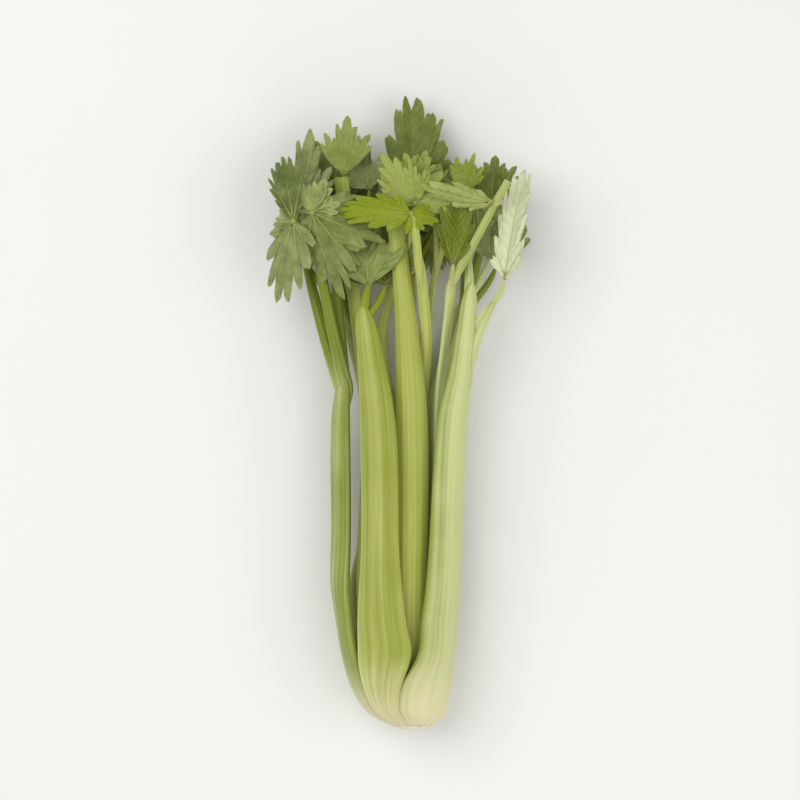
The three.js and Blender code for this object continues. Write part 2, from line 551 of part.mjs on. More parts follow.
// A leaflet: one thin blade, split into the same triangles on both faces. Its places are the root,
// the rim from one side to the other, and a ring inside from that side back, with a place behind each
// sinus and, in lobes with three teeth, behind each middle tooth.
function leaflet(at, row) {
  const leaf = leafFrame(at, row);
  const cut = CUTS[row[6]];
  const rim = leafRim(cut, row[7], row[0] + leaf.length);
  const inner = rim
    .filter((_, k) => k % Math.max(cut.teeth, 2) === 0)
    .map(([angle, reach]) => [angle, Math.min(0.6 * reach, INNER_REACH)])
    .reverse();
  const places = [[0, 0], ...rim, ...inner];
  const upper = [];
  const lower = [];
  for (const [angle, share] of places) {
    const middle = leafPoint(leaf, angle, share * leaf.length);
    const half = leafNormal(leaf, angle, share * leaf.length).multiplyScalar(BLADE / 2);
    upper.push(middle.clone().add(half));
    lower.push(middle.clone().sub(half));
  }
  const count = rim.length + inner.length;
  const sheet = ladder(count, rim.length - 1).map((triangle) => triangle.map((i) => i + 1));
  for (let i = count; i > rim.length + 1; i--) sheet.push([0, i, i - 1]);
  const border = [0, count, ...rim.map((_, i) => i + 1), rim.length + 1];
  const below = places.length;
  const faces = sheet.flatMap(([a, b, c]) => [a, b, c, below + a, below + c, below + b]);
  border.forEach((a, i) => {
    const b = border[(i + 1) % border.length];
    faces.push(a, below + a, below + b, a, below + b, b);
  });
  const geometry = new THREE.BufferGeometry();
  const positions = [...upper, ...lower].flatMap((p) => [p.x, p.y, p.z]);
  geometry.setAttribute("position", new THREE.Float32BufferAttribute(positions, 3));
  geometry.setIndex(faces);
  return solid(geometry);
}

function leafGroup({ at, leaflets }) {
  const blades = leaflets.map((row) => leaflet(at, row));
  if (blades.length === 1) return blades[0];
  return fuse([solid(new THREE.IcosahedronGeometry(NECK, 0).translate(...at)), ...blades]);
}

// The largest body of a solid, without the scraps that a cut can leave
function largest(made) {
  return made.decompose().reduce((best, body) => (body.volume() > best.volume() ? body : best));
}

// The butt: a squat cone whose lower end is the cut face
function butt() {
  const profile = [
    [0, 0], [8, 0.6], [11.4, 2.4], [12, 6], [10.2, 9.4], [9.9, 13.4], [6.2, 16], [4.2, 24], [0, 29],
  ];
  const points = profile.map(([radius, y]) => new THREE.Vector2(radius, y));
  const geometry = new THREE.LatheGeometry(points, 20);
  const position = geometry.getAttribute("position");
  for (let i = 0; i < position.count; i++) {
    const y = position.getY(i);
    position.setX(i, position.getX(i) + along(AXIS_X, y));
    position.setZ(i, position.getZ(i) + along(AXIS_Z, y));
  }
  return solid(geometry);
}

function mesh(name, made, finish) {
  const { vertProperties, triVerts, numProp } = made.getMesh();
  const positions = new Float32Array(vertProperties.length);
  positions.set(vertProperties);
  if (numProp !== 3) throw new Error(`${name} has more than a place for each vertex`);
  const geometry = new THREE.BufferGeometry();
  geometry.setAttribute("position", new THREE.BufferAttribute(positions, 3));
  geometry.setIndex(new THREE.BufferAttribute(triVerts.slice(), 1));
  geometry.computeVertexNormals();
  const result = new THREE.Mesh(geometry, new THREE.MeshStandardMaterial(finish));
  result.name = name;
  return result;
}

const celery = new THREE.Group();
celery.position.set(-MIDDLE_X, -MIDDLE_Y, 0);
celery.add(mesh("butt", butt(), BUTT_CREAM));
for (const stalk of STALKS) {
  const finish = stalk.ring === "heart" ? HEART_GREEN : STALK_GREEN;
  celery.add(mesh(stalk.name, stalkSolid(stalk), finish));
}
const clearOfStalks = fuse(STALKS.map((stalk) => stalkSolid(stalk, GAP)));
for (const group of LEAVES) {
  celery.add(mesh(group.name, largest(leafGroup(group).subtract(clearOfStalks)), LEAF_GREEN));
}

export default celery;
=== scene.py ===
"""A head of celery that lies on a table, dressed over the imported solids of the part.

Every stalk, every leaf group and the butt is made again from the numbers that shaped its solid, finer and
with its own material. Metres: +Y runs along the head from the cut butt to the leaves, and +Z is up. In the
tables y counts from the cut end, x from a line along the head, and z from the table.
"""
import json
import math

import bmesh
import bpy
from bpy.props import FloatProperty, FloatVectorProperty, PointerProperty
from mathutils import Matrix, Vector, noise

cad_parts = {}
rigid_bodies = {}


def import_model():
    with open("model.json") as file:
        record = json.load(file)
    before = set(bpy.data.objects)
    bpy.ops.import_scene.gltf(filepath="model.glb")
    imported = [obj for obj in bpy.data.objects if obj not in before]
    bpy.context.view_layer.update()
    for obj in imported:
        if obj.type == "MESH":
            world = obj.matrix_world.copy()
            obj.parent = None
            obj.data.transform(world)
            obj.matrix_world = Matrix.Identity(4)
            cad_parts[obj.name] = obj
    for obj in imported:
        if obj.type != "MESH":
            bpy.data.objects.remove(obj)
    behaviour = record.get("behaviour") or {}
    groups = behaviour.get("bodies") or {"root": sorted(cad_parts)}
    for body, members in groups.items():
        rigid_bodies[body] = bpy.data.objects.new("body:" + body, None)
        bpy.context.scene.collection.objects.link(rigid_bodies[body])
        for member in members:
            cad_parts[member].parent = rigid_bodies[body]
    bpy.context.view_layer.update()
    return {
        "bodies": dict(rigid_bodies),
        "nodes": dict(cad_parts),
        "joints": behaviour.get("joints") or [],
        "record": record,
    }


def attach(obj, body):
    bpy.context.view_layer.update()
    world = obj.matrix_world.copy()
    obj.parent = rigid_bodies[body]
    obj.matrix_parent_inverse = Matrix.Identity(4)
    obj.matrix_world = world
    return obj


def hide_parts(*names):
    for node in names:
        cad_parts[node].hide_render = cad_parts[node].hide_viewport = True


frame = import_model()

bl_info = {
    "name": "Head of celery",
    "version": (1, 0, 0),
    "blender": (4, 5, 0),
    "location": "3D View > Sidebar > Celery",
    "description": "Ribbed leaf stalks, toothed leaves and a cut butt, over the solids of a head of celery",
    "category": "Add Mesh",
}

MIDDLE = Vector((-0.002, 0.175, 0.0))  # the middle of the head's foot, in the tables' own places

# The whorl of stalks at the base, ring by ring. reach is the distance from the head's axis to the outer
# side, and wall is a stalk's thickness, both as pairs of a height and a value. half is half of the arc that
# a stalk takes up at the base, in degrees.
RINGS = {
    "outer": {
        "slot": "stalk", "ribs": 8,
        "reach": ((0.003, 0.0132), (0.007, 0.0195), (0.012, 0.0234), (0.025, 0.0282), (0.045, 0.032),
                  (0.06, 0.0333), (0.08, 0.034)),
        "wall": ((0.003, 0.0012), (0.007, 0.0064), (0.012, 0.0072), (0.03, 0.0074), (0.06, 0.008),
                 (0.1, 0.0086), (0.17, 0.0082), (0.24, 0.0064), (0.3, 0.005)),
    },
    "inner": {
        "slot": "stalk", "ribs": 6, "half": 34.5,
        "reach": ((0.01, 0.0138), (0.014, 0.016), (0.025, 0.0198), (0.045, 0.0228), (0.08, 0.0236)),
        "wall": ((0.01, 0.003), (0.014, 0.0044), (0.025, 0.0054), (0.06, 0.0064), (0.1, 0.007),
                 (0.17, 0.0068), (0.25, 0.0052), (0.306, 0.0044)),
    },
    "heart": {
        "slot": "heart", "ribs": 4, "half": 56,
        "reach": ((0.017, 0.0099), (0.025, 0.0132), (0.045, 0.0156), (0.08, 0.0156)),
        "wall": ((0.017, 0.0028), (0.025, 0.0042), (0.08, 0.0052), (0.17, 0.005), (0.29, 0.003)),
    },
}

# The head's axis leans: its place across and above the table, and how far the whorl is flattened
AXIS_X = ((0.0, 0.007), (0.007, 0.005), (0.012, 0.003), (0.025, 0.0006), (0.045, -0.0006), (0.06, -0.0012))
AXIS_Z = ((0.0, 0.0258), (0.025, 0.0272), (0.045, 0.0276))
SQUEEZE_X = ((0.025, 1.0), (0.06, 1.02), (0.08, 1.07))
SQUEEZE_Z = ((0.012, 1.0), (0.025, 0.98), (0.06, 0.88))

# How a stalk's section goes on from there. A wrap is half of the arc that it takes up, in degrees.
BASE_ROWS = (0.012, 0.025, 0.04, 0.06)  # the heights at which its face and wrap are set at the base
CLASPING = 0.025  # up to this height its width follows from its arc in the whorl
FREE_WRAP = 38  # the least wrap at the last of the base's heights
WRAPS = ((0.1, 50), (0.17, 57))  # the wrap further up
TOP_WRAP = 66
EDGE_WALL = 0.55  # its thickness at the edges, as a share of its thickness in the middle
WALL_LIMIT = 0.78  # the most of its bend radius that its thickness takes up
EDGE_TURN = 0.0012  # the most that the rounding of an edge takes up
SKIN_GRAIN = (1.5, 16)  # how fine its unevenness is across and along it
BASE_CLOSING = 0.0009  # how much further its edges reach at the base, where the stalks press together
CLOSING_FADE = (0.02, 0.04)  # the heights between which that ends
RIB_ROUNDNESS = 0.7  # less is flatter
GROOVE_USUAL = 0.5  # how deep the grooves between its ribs usually are
GROOVE_VARIETY = 1.3  # how far that differs from place to place
GROOVE_GRAIN = (1.9, 3)  # how fine that difference is across and along it
GROOVE_FAINTEST = 0.1
BASE_GROOVE = 0.45  # how deep they still are at the cut end
TIP_ROUNDING = 0.013  # how far below its top a stalk that isn't cut starts to close
STALK_CUT_RIM = 0.0005  # round its cut face
SHADED_EDGE_YELLOWING = 0.4  # how much more yellow the edge with painted shade gets, as a share of how far the painted shade deepens it

# The stems
ROOT_REACH = 0.018  # how far a stem's root runs back into its stalk
ROOT_BEND = 0.4  # how far before its start the root bends, as a share of its reach
ROOT_THINNING = 0.55  # how much thinner the root's far end is
STUB = 0.002  # how far back a stem starts that grows from another stem
TIP_LENGTH = 0.01  # how far before its leaf a stem starts to get thinner
TIP_THINNING = 0.35  # how much thinner it gets
STEM_CUT_RIM = 0.0003
CAP_LENGTH = 1.3  # how long its round end is, as a share of its radius
STEM_RIBS = 6
STEM_RIB_HEIGHT = 0.05  # as a share of its radius too
STEM_DEEPENING = 2.0  # how many times as deep the green of a stem gets as its stalk's
STEM_GREENING = 0.3  # the share of a stem's length over which its green deepens

# The stalks. tint is how deep the green is, how yellow it is, and how far painted shade deepens the edge
# that lies on the way from +X to +Z while a painted highlight pales the other edge as much (below 0 the two
# swap).
# face is the side that the outer face looks to at the base, in degrees from +X towards +Z, and half is a
# stalk's own half arc. Either is one angle or pairs of a height and an angle. widths are pairs of a height
# and a width.
# Each row of path is y, x, z, face and width of the outer side's middle line, above the whorl. Each stem
# has its start, the place that it bends towards, its end and its thickness at both. cut marks a stalk or a
# stem that ends in a cut.
STALKS = {
    "stalk_left": {
        "ring": "outer", "tint": (0.54, 0.15, -0.45), "face": 172, "half": 32.4,
        "widths": ((0.06, 0.027), (0.1, 0.022)),
        "path": ((0.11, -0.0366, 0.03, 156, 0.021), (0.17, -0.0366, 0.031, 156, 0.0195),
                 (0.199, -0.033, 0.036, 158, 0.01)),
        "stems": (
            ((-0.03, 0.19, 0.034), (-0.041, 0.235, 0.04), (-0.0486, 0.281, 0.046), (0.008, 0.004)),
            ((-0.048, 0.27, 0.0445), (-0.0515, 0.276, 0.048), (-0.0566, 0.2782, 0.05), (0.003, 0.0022)),
            ((-0.033, 0.19, 0.03), (-0.0485, 0.236, 0.027), (-0.0564, 0.281, 0.022), (0.008, 0.0036)),
            ((-0.0306, 0.19, 0.031), (-0.0335, 0.224, 0.031), (-0.037, 0.262, 0.032), (0.007, 0.0046),
             "cut"),
        ),
    },
    "stalk_front": {
        "ring": "outer", "tint": (0.64, 0.65, -0.3),
        "face": ((0.012, 119), (0.026, 113.5), (0.041, 106.6), (0.06, 107.4)),
        "half": ((0.012, 20), (0.026, 24.5), (0.041, 29.6)),
        "widths": ((0.042, 0.0316), (0.06, 0.0295), (0.1, 0.023)),
        "path": ((0.17, -0.013, 0.0575, 100, 0.0205), (0.233, -0.0205, 0.054, 98, 0.011)),
        "stems": (
            ((-0.0205, 0.226, 0.05), (-0.019, 0.236, 0.0485), (-0.0176, 0.243, 0.0464), (0.006, 0.0044)),
            ((-0.018, 0.227, 0.05), (-0.01, 0.236, 0.044), (-0.008, 0.244, 0.04), (0.0044, 0.003)),
        ),
    },
    "stalk_right": {
        "ring": "outer", "tint": (0.12, 0.0, 0.85), "face": ((0.012, 46), (0.026, 40.5), (0.041, 34)),
        "half": ((0.012, 51.5), (0.026, 47), (0.041, 41.4)),
        "widths": ((0.042, 0.036), (0.06, 0.034), (0.1, 0.029)),
        "path": ((0.17, 0.033, 0.048, 44, 0.024), (0.2, 0.037, 0.049, 45, 0.018),
                 (0.246, 0.0405, 0.046, 50, 0.0095)),
        "stems": (
            ((0.036, 0.192, 0.044), (0.0415, 0.219, 0.045), (0.053, 0.2374, 0.0414), (0.0064, 0.0038)),
            ((0.0524, 0.2366, 0.0414), (0.056, 0.241, 0.0412), (0.057, 0.2462, 0.0422), (0.0038, 0.003)),
            ((0.038, 0.24, 0.042), (0.038, 0.252, 0.041), (0.037, 0.2662, 0.0376), (0.006, 0.0036)),
            ((0.0385, 0.238, 0.041), (0.045, 0.248, 0.031), (0.049, 0.2586, 0.0286), (0.004, 0.0026)),
        ),
    },
    "stalk_back_right": {
        "ring": "outer", "tint": (0.45, 0.3, 0.0), "face": 311, "half": 37.4,
        "widths": ((0.06, 0.028), (0.1, 0.024)),
        "path": ((0.11, 0.022, 0.0014, 307, 0.023), (0.17, 0.024, 0.0016, 305, 0.021),
                 (0.238, 0.038, 0.006, 303, 0.0125)),
        "stems": (
            ((0.036, 0.232, 0.0095), (0.044, 0.262, 0.014), (0.051, 0.291, 0.024), (0.0064, 0.0036)),
            ((0.035, 0.232, 0.0085), (0.037, 0.252, 0.008), (0.034, 0.268, 0.0075), (0.005, 0.003)),
            ((0.037, 0.232, 0.009), (0.05, 0.245, 0.009), (0.0528, 0.2542, 0.0095), (0.0046, 0.003)),
        ),
    },
    "stalk_back_left": {
        "ring": "outer", "tint": (0.6, 0.2, 0.0), "face": 239, "half": 31.4,
        "widths": ((0.06, 0.027), (0.1, 0.023)),
        "path": ((0.11, -0.015, 0.001, 242, 0.022), (0.17, -0.014, 0.001, 245, 0.0205),
                 (0.232, -0.03, 0.005, 244, 0.0125)),
        "stems": (
            ((-0.0285, 0.226, 0.009), (-0.037, 0.256, 0.0095), (-0.042, 0.285, 0.0124), (0.0064, 0.0036)),
            ((-0.029, 0.226, 0.0085), (-0.043, 0.243, 0.008), (-0.0494, 0.254, 0.008), (0.0046, 0.003)),
            ((-0.027, 0.226, 0.008), (-0.024, 0.25, 0.008), (-0.021, 0.268, 0.0075), (0.0046, 0.003)),
        ),
    },
    "stalk_middle": {
        "ring": "inner", "tint": (0.46, 0.88, 0.1), "cut": True,
        "face": 72, "widths": ((0.06, 0.021), (0.1, 0.02)),
        "path": ((0.17, 0.0065, 0.0475, 88, 0.0185), (0.245, 0.0015, 0.0465, 88, 0.011),
                 (0.306, -0.0065, 0.044, 88, 0.0092)),
        "stems": (),
    },
    "stalk_inner_right": {
        "ring": "inner", "tint": (0.15, 0.35, 0.1), "face": 0,
        "widths": ((0.06, 0.019), (0.1, 0.015)),
        "path": ((0.17, 0.0225, 0.03, -5, 0.0125), (0.215, 0.027, 0.04, 20, 0.0095),
                 (0.252, 0.031, 0.0485, 45, 0.008)),
        "stems": (
            ((0.029, 0.247, 0.0464), (0.04, 0.266, 0.05), (0.0526, 0.29, 0.0526), (0.005, 0.0044)),
            ((0.0518, 0.2886, 0.0528), (0.055, 0.294, 0.054), (0.059, 0.301, 0.055), (0.0046, 0.0042),
             "cut"),
            ((0.0286, 0.245, 0.0455), (0.0286, 0.25, 0.0485), (0.029, 0.2546, 0.0502), (0.0046, 0.0034)),
        ),
    },
    "stalk_inner_left": {
        "ring": "inner", "tint": (0.75, 0.4, 0.0), "cut": True,
        "face": 144, "widths": ((0.06, 0.019), (0.1, 0.016)),
        "path": ((0.17, -0.0205, 0.034, 150, 0.0145), (0.25, -0.0285, 0.0345, 140, 0.011),
                 (0.304, -0.0335, 0.0335, 120, 0.0095)),
        "stems": (),
    },
    "stalk_inner_back": {
        "ring": "inner", "tint": (0.7, 0.5, 0.0), "face": 288,
        "widths": ((0.06, 0.018), (0.1, 0.015)),
        "path": ((0.17, 0.0045, 0.014, 277, 0.0125), (0.255, 0.005, 0.016, 275, 0.0085)),
        "stems": (
            ((0.005, 0.249, 0.0185), (0.007, 0.272, 0.019), (0.008, 0.295, 0.018), (0.0054, 0.0038)),
            ((0.0055, 0.249, 0.018), (0.012, 0.262, 0.015), (0.019, 0.275, 0.013), (0.004, 0.0028)),
        ),
    },
    "stalk_inner_low": {
        "ring": "inner", "tint": (0.85, 0.4, 0.0), "face": 216,
        "widths": ((0.06, 0.018), (0.1, 0.014)),
        "path": ((0.17, -0.0195, 0.0205, 205, 0.0115), (0.252, -0.027, 0.0185, 205, 0.008)),
        "stems": (
            ((-0.025, 0.247, 0.02), (-0.0285, 0.276, 0.022), (-0.031, 0.3044, 0.027), (0.005, 0.0034)),
            ((-0.0245, 0.247, 0.0195), (-0.019, 0.268, 0.02), (-0.017, 0.2964, 0.022), (0.004, 0.0028)),
        ),
    },
    "heart_front": {
        "ring": "heart", "tint": (0.15, 0.8, 0.0), "face": 60,
        "widths": ((0.06, 0.014), (0.1, 0.011)),
        "path": ((0.17, 0.011, 0.033, 72, 0.009), (0.215, 0.0145, 0.04, 78, 0.0074),
                 (0.262, 0.0105, 0.055, 88, 0.006)),
        "stems": (
            ((0.01, 0.257, 0.053), (0.009, 0.272, 0.0575), (0.007, 0.2815, 0.06), (0.005, 0.0046)),
        ),
    },
    "heart_left": {
        "ring": "heart", "tint": (0.15, 0.8, 0.0), "face": 180,
        "widths": ((0.06, 0.013), (0.1, 0.01)),
        "path": ((0.17, -0.005, 0.031, 172, 0.0085), (0.215, -0.0115, 0.033, 130, 0.008),
                 (0.262, 0.002, 0.036, 110, 0.0054)),
        "stems": (
            ((0.0016, 0.257, 0.0345), (0.006, 0.272, 0.038), (0.008, 0.286, 0.0466), (0.0042, 0.003)),
            ((0.002, 0.258, 0.0345), (0.008, 0.275, 0.034), (0.0095, 0.297, 0.0364), (0.0036, 0.0026)),
        ),
    },
    "heart_right": {
        "ring": "heart", "tint": (0.2, 0.7, 0.0), "face": 300,
        "widths": ((0.06, 0.013), (0.1, 0.01)),
        "path": ((0.17, 0.0095, 0.0245, 300, 0.0085), (0.262, 0.022, 0.031, 330, 0.0054)),
        "stems": (
            ((0.0205, 0.257, 0.0325), (0.02, 0.278, 0.031), (0.0185, 0.292, 0.0306), (0.0038, 0.0026)),
            ((0.021, 0.257, 0.0325), (0.027, 0.276, 0.034), (0.0323, 0.2906, 0.0376), (0.0038, 0.0026)),
        ),
    },
}

# The leaf groups: the knot where the leaflets meet, how pale and how yellow they are, and the leaflets.
# Each leaflet has its heading from +X towards +Y, its pitch up from the table, its roll about its own rib,
# its length, its droop, how far its halves fold up about the rib, its cut, how wide the cut opens and,
# where it isn't as pale as its group, how much paler it is.
LEAVES = {
    "leaf_bright": ((0.0062, 0.283, 0.0615), (0.45, 1.0), (
        (173, 5, 16, 0.042, 34, -22, "comb", 1.0), (-12, -4, -12, 0.016, 20, -20, "three", 0.7),
        (-104, -6, 0, 0.013, 20, -16, "three", 0.7))),
    "leaf_centre": ((0.0084, 0.289, 0.0485), (0.82, 0.68), (
        (124, 2, -10, 0.031, 10, 10, "broad", 0.8), (54, 3, -10, 0.025, 24, -14, "three", 0.9))),
    "leaf_heart": ((0.0095, 0.2994, 0.0372), (0.75, 0.72), (
        (110, 4, 12, 0.021, 4, 18, "three", 0.8), (76, -3, -6, 0.019, 10, 14, "three", 0.7))),
    "leaf_pale_small": ((0.0185, 0.294, 0.031), (0.7, 0.6), ((78, 0, 6, 0.017, 8, 18, "three", 0.9),)),
    "leaf_bright_right": ((0.0325, 0.2925, 0.0385), (0.6, 0.78), (
        (70, 10, -16, 0.028, -10, 18, "three", 0.42), (126, -4, 10, 0.015, 20, 12, "three", 0.8, -0.2))),
    "leaf_arching": ((0.0504, 0.289, 0.0574), (0.55, 0.45), (
        (174, 11, -38, 0.042, 22, -14, "strip", 0.66),)),
    "leaf_star": ((0.051, 0.293, 0.0265), (0.1, 0.25), ((88, 14, 0, 0.026, 20, 18, "five", 0.75),)),
    # The far-right leaf's paleness above 1 turns it silver: partly its own pale turned-over side, partly
    # painted glare
    "leaf_far_right": ((0.0572, 0.2482, 0.0428), (1.25, 0.0), ((81.5, 6, -22, 0.06, 4, 16, "band", 0.92),)),
    # The trough's leaf is tinted below 0 as painted shade down in the trough
    "leaf_trough": ((0.029, 0.2564, 0.0494), (-0.1, 0.5), ((87, -7, 4, 0.033, 6, 34, "spoon", 0.72),)),
    "leaf_grey": ((0.0495, 0.2604, 0.0285), (0.52, 0.08), ((88, -2, -8, 0.031, 4, 14, "three", 0.8),)),
    "leaf_right_up": ((0.037, 0.2682, 0.0375), (0.3, 0.3), ((100, -12, 0, 0.028, 20, 16, "three", 0.9),)),
    "leaf_front_long": ((-0.0174, 0.2448, 0.046), (0.26, 0.3), (
        (95, -10, -2, 0.044, 10, 8, "three", 0.72),)),
    "leaf_front_dark": ((-0.008, 0.2456, 0.039), (0.2, 0.3), ((98, -14, -4, 0.036, 8, 10, "three", 1.0),)),
    "leaf_left_hanging": ((-0.0482, 0.2842, 0.0485), (0.15, 0.25), (
        (-68, 10, 6, 0.051, 24, -12, "fingers", 1.25), (-24, 14, 2, 0.046, 26, -12, "broad", 0.72),
        (66, -4, 0, 0.021, 8, 12, "three", 0.9, 0.25), (112, -14, -6, 0.02, 4, 8, "three", 0.8, 0.2))),
    "leaf_left_finger": ((-0.0584, 0.2794, 0.0515), (0.27, 0.12), (
        (-101, 5, 14, 0.048, 22, -14, "fingers", 1.2), (99, 9, 2, 0.034, 22, -8, "spoon", 0.5, -0.25),
        (188, 2, 4, 0.012, 20, -10, "three", 0.9))),
    "leaf_left_plane": ((-0.057, 0.283, 0.022), (0.3, 0.08), (
        (78, 16, 10, 0.046, 26, 14, "three", 0.46), (106, 8, 6, 0.03, 20, 14, "three", 0.4))),
    "leaf_back_left_top": ((-0.0426, 0.2874, 0.013), (0.14, 0.25), (
        (96, 6, 4, 0.037, 10, 12, "three", 0.8), (50, 0, 4, 0.026, 20, 10, "three", 1.0))),
    "leaf_olive": ((-0.031, 0.3066, 0.0276), (0.34, 0.5), ((86, 8, -10, 0.032, 10, 16, "three", 0.58),)),
    "leaf_grey_middle": ((-0.0169, 0.2986, 0.0226), (0.34, 0.1), (
        (108, 6, -6, 0.026, 16, 14, "three", 0.78),)),
    "leaf_crown": ((0.0082, 0.2974, 0.018), (0.02, 0.32), ((90, 2, -2, 0.052, 12, 8, "crown", 1.0),)),
    "leaf_back_right_side": ((0.0536, 0.256, 0.0098), (0.35, 0.2), (
        (84, 4, 16, 0.034, 14, 14, "three", 0.6),)),
    "leaf_back_right_mid": ((0.0335, 0.2692, 0.0064), (0.22, 0.3), (
        (84, -1, 3, 0.042, -4, 5, "five", 0.9),)),
    "leaf_back_left_side": ((-0.0506, 0.2554, 0.008), (0.3, 0.2), (
        (104, 3, -12, 0.034, 14, 14, "three", 0.7),)),
    "leaf_back_left_mid": ((-0.0206, 0.269, 0.0064), (0.22, 0.3), (
        (98, -1, -3, 0.042, -4, 5, "five", 0.9),)),
    "leaf_back_middle": ((0.0194, 0.2766, 0.013), (0.22, 0.3), (
        (94, -2, 2, 0.034, 4, 10, "three", 1.0), (-92, 2, 0, 0.03, 14, 10, "three", 0.6))),
}

# How a leaflet is cut: how many teeth a lobe has, the reach between two lobes as a share of the shorter
# one's, the lobes, and the angles of the main veins. Each lobe is its middle, half its width and its reach:
# the angles are in degrees from the rib, and the reach is a share of the leaflet's length.
CUTS = {
    "three": (3, 0.7, ((-58, 29, 0.8), (0, 29, 1), (58, 29, 0.8)), (-58, 0, 58)),
    "five": (3, 0.7, ((-98, 20, 0.54), (-54, 24, 0.8), (0, 30, 1), (54, 24, 0.8), (98, 20, 0.54)),
             (-98, -54, 0, 54, 98)),
    "broad": (3, 0.8, ((-69, 15, 0.62), (-37, 15, 0.84), (0, 20, 1), (37, 15, 0.84), (69, 15, 0.62)),
              (-69, -37, 0, 37, 69)),
    "crown": (1, 0.88, ((-60, 6, 0.5), (-34, 6, 0.62), (-24, 3, 0.82), (-15, 4, 0.84), (-2, 4, 1),
                        (7, 3, 1), (15, 5, 0.9), (30, 6, 0.64), (54, 6, 0.44)), (-58, -22, 4, 30)),
    "comb": (1, 0.86, ((-50, 6, 0.36), (-32, 6, 0.56), (-18, 4, 0.84), (-10, 4, 0.96), (-3, 3, 1),
                       (4, 4, 0.98), (12, 4, 0.86), (22, 6, 0.62), (42, 8, 0.38)), (-32, -10, 4, 22)),
    "fingers": (1, 0.78, ((-44, 8, 0.32), (-24, 6, 0.56), (-13, 4, 0.8), (-4, 4, 1), (4, 3, 0.93),
                          (13, 5, 0.8), (26, 8, 0.6), (46, 8, 0.36)), (-24, -6, 13, 32)),
    "strip": (1, 0.93, ((-52, 9, 0.34), (-30, 9, 0.58), (-12, 7, 0.9), (2, 7, 1), (16, 7, 0.84),
                        (34, 9, 0.56), (54, 9, 0.32)), (-24, 2, 28)),
    "band": (1, 0.9, ((-42, 8, 0.26), (-25, 6, 0.42), (-16, 4, 0.63), (-11, 2, 0.84), (-6.5, 2, 0.98),
                      (0, 3, 1), (7, 2, 0.96), (11, 2, 0.8), (16, 4, 0.6), (25, 6, 0.4), (42, 8, 0.22)),
             (-28, 0, 28)),
    "spoon": (1, 0.93, ((-66, 8, 0.42), (-46, 8, 0.72), (-30, 7, 0.92), (-15, 7, 1), (0, 7, 0.97),
                        (15, 7, 1), (30, 7, 0.92), (46, 8, 0.72), (66, 8, 0.42)), (-40, 0, 40)),
}
LOBE_FALL = 0.16  # how much less the side teeth of a lobe reach than its tip
TOOTH_ROOM = 0.84  # the share of a lobe's width that its teeth take up
NOTCH = 0.87  # the reach between two teeth, as a share of the shorter one's
WIDE_LOBE = 20  # the half width from which a lobe sways in full, in degrees
SWAY_TURN = 3  # how far a wide lobe is turned from its place, in degrees
SWAY_REACH = 0.08  # how much longer or shorter a wide lobe is than its share
SHOULDER = 0.16  # the reach where the blade meets the rib's root
SHOULDER_TURN = 14  # how far the shoulder is turned back from the last tooth, in degrees
TOOTH_ROUNDNESS = 0.75  # less is blunter
TOOTH_DOUBLING = 0.022  # the reach of the small second tooth beside some teeth

# The blade's surface. Where no unit is meant, a height is a share of the leaflet's length.
NECK = 0.0014  # the radius of the knot that joins the leaflets of a group
VEIN_SWEEP = 0.14  # how far the main veins curve forward
VEIN_SLANT = 1.1  # how far the side veins lean forward
VEIN_PERIOD = 0.0016  # the distance between side veins on the smallest leaflet
VEIN_PERIOD_GROWTH = 0.075  # how much it grows with the leaflet's length
KNOT_PERIOD = 0.004  # on the knot
VEIN_WIDTH = 0.0009  # half the width of the dip over a main vein
WAVE = 0.045  # the height of the waves in the margin
WAVES = 5  # how many of them a full turn would have
FOLD_SOFT = 0.0012  # the width over which the fold along the rib is rounded
DISHING = 0.2  # how steeply the blade rises on both sides of a vein
RIPPLE = 0.012  # the height of the small waves in the margin
RIPPLES = 17  # how many of them a full turn would have
BUCKLE = 0.07  # the height of the uneven waves
BUCKLE_GRAIN = 60  # how fine they are
TIP_FALL = 0.05  # how far the tips of the lobes drop
RIB_STOUTNESS = 0.0011  # how far the rib under a vein swells at its root
RIB_NARROWEST = 0.0004  # half its width at its tip

# How finely things are divided
RIB_STEPS = 6  # faces across one rib of a stalk
EDGE_STEPS = 6  # faces round a stalk's edge
HOLLOW_STEPS = 22  # faces across the hollow side
FINE_BASE = 0.03  # the height up to which a stalk's rows are close together
BASE_STEP = 0.001  # between two rows there
STALK_STEP = 0.0026  # between two rows above
TIP_STEPS = 8  # rows where a stalk closes
STEM_SIDES = 30
STEM_STEP = 0.0016  # between two rows of a stem
STEM_LEAST_STEPS = 10
ROOT_STEPS = 9
CAP_LEANS = (0.0, 0.4, 0.8, 1.2)  # the slopes of a round end, from its tip on
RIM_STEPS = 6  # faces from a tooth's tip to its notch
BLADE_ROWS = 30  # faces from a leaflet's root to its rim
BUTT_STEPS = 6  # faces between two places of the butt's outline
BUTT_SIDES = 96
SEAM = 1e-6  # vertices that are nearer than this are joined

# The butt's outline, from the middle of its cut face round to its hidden tip, as pairs of radius and height
BUTT_OUTLINE = (
    (0.0, 0.0004), (0.005, 0.0003), (0.009, 0.0008), (0.0114, 0.0024), (0.012, 0.006), (0.0102, 0.0094),
    (0.0099, 0.0134), (0.0062, 0.016), (0.0042, 0.024), (0.0, 0.029),
)
BUTT_GRAIN = 420  # how fine the unevenness of its face is
CUT_FACE_HEIGHT = 0.006  # the height up to which it is as uneven as its cut face
BUTT_SMOOTHER = 0.3  # how uneven it is above

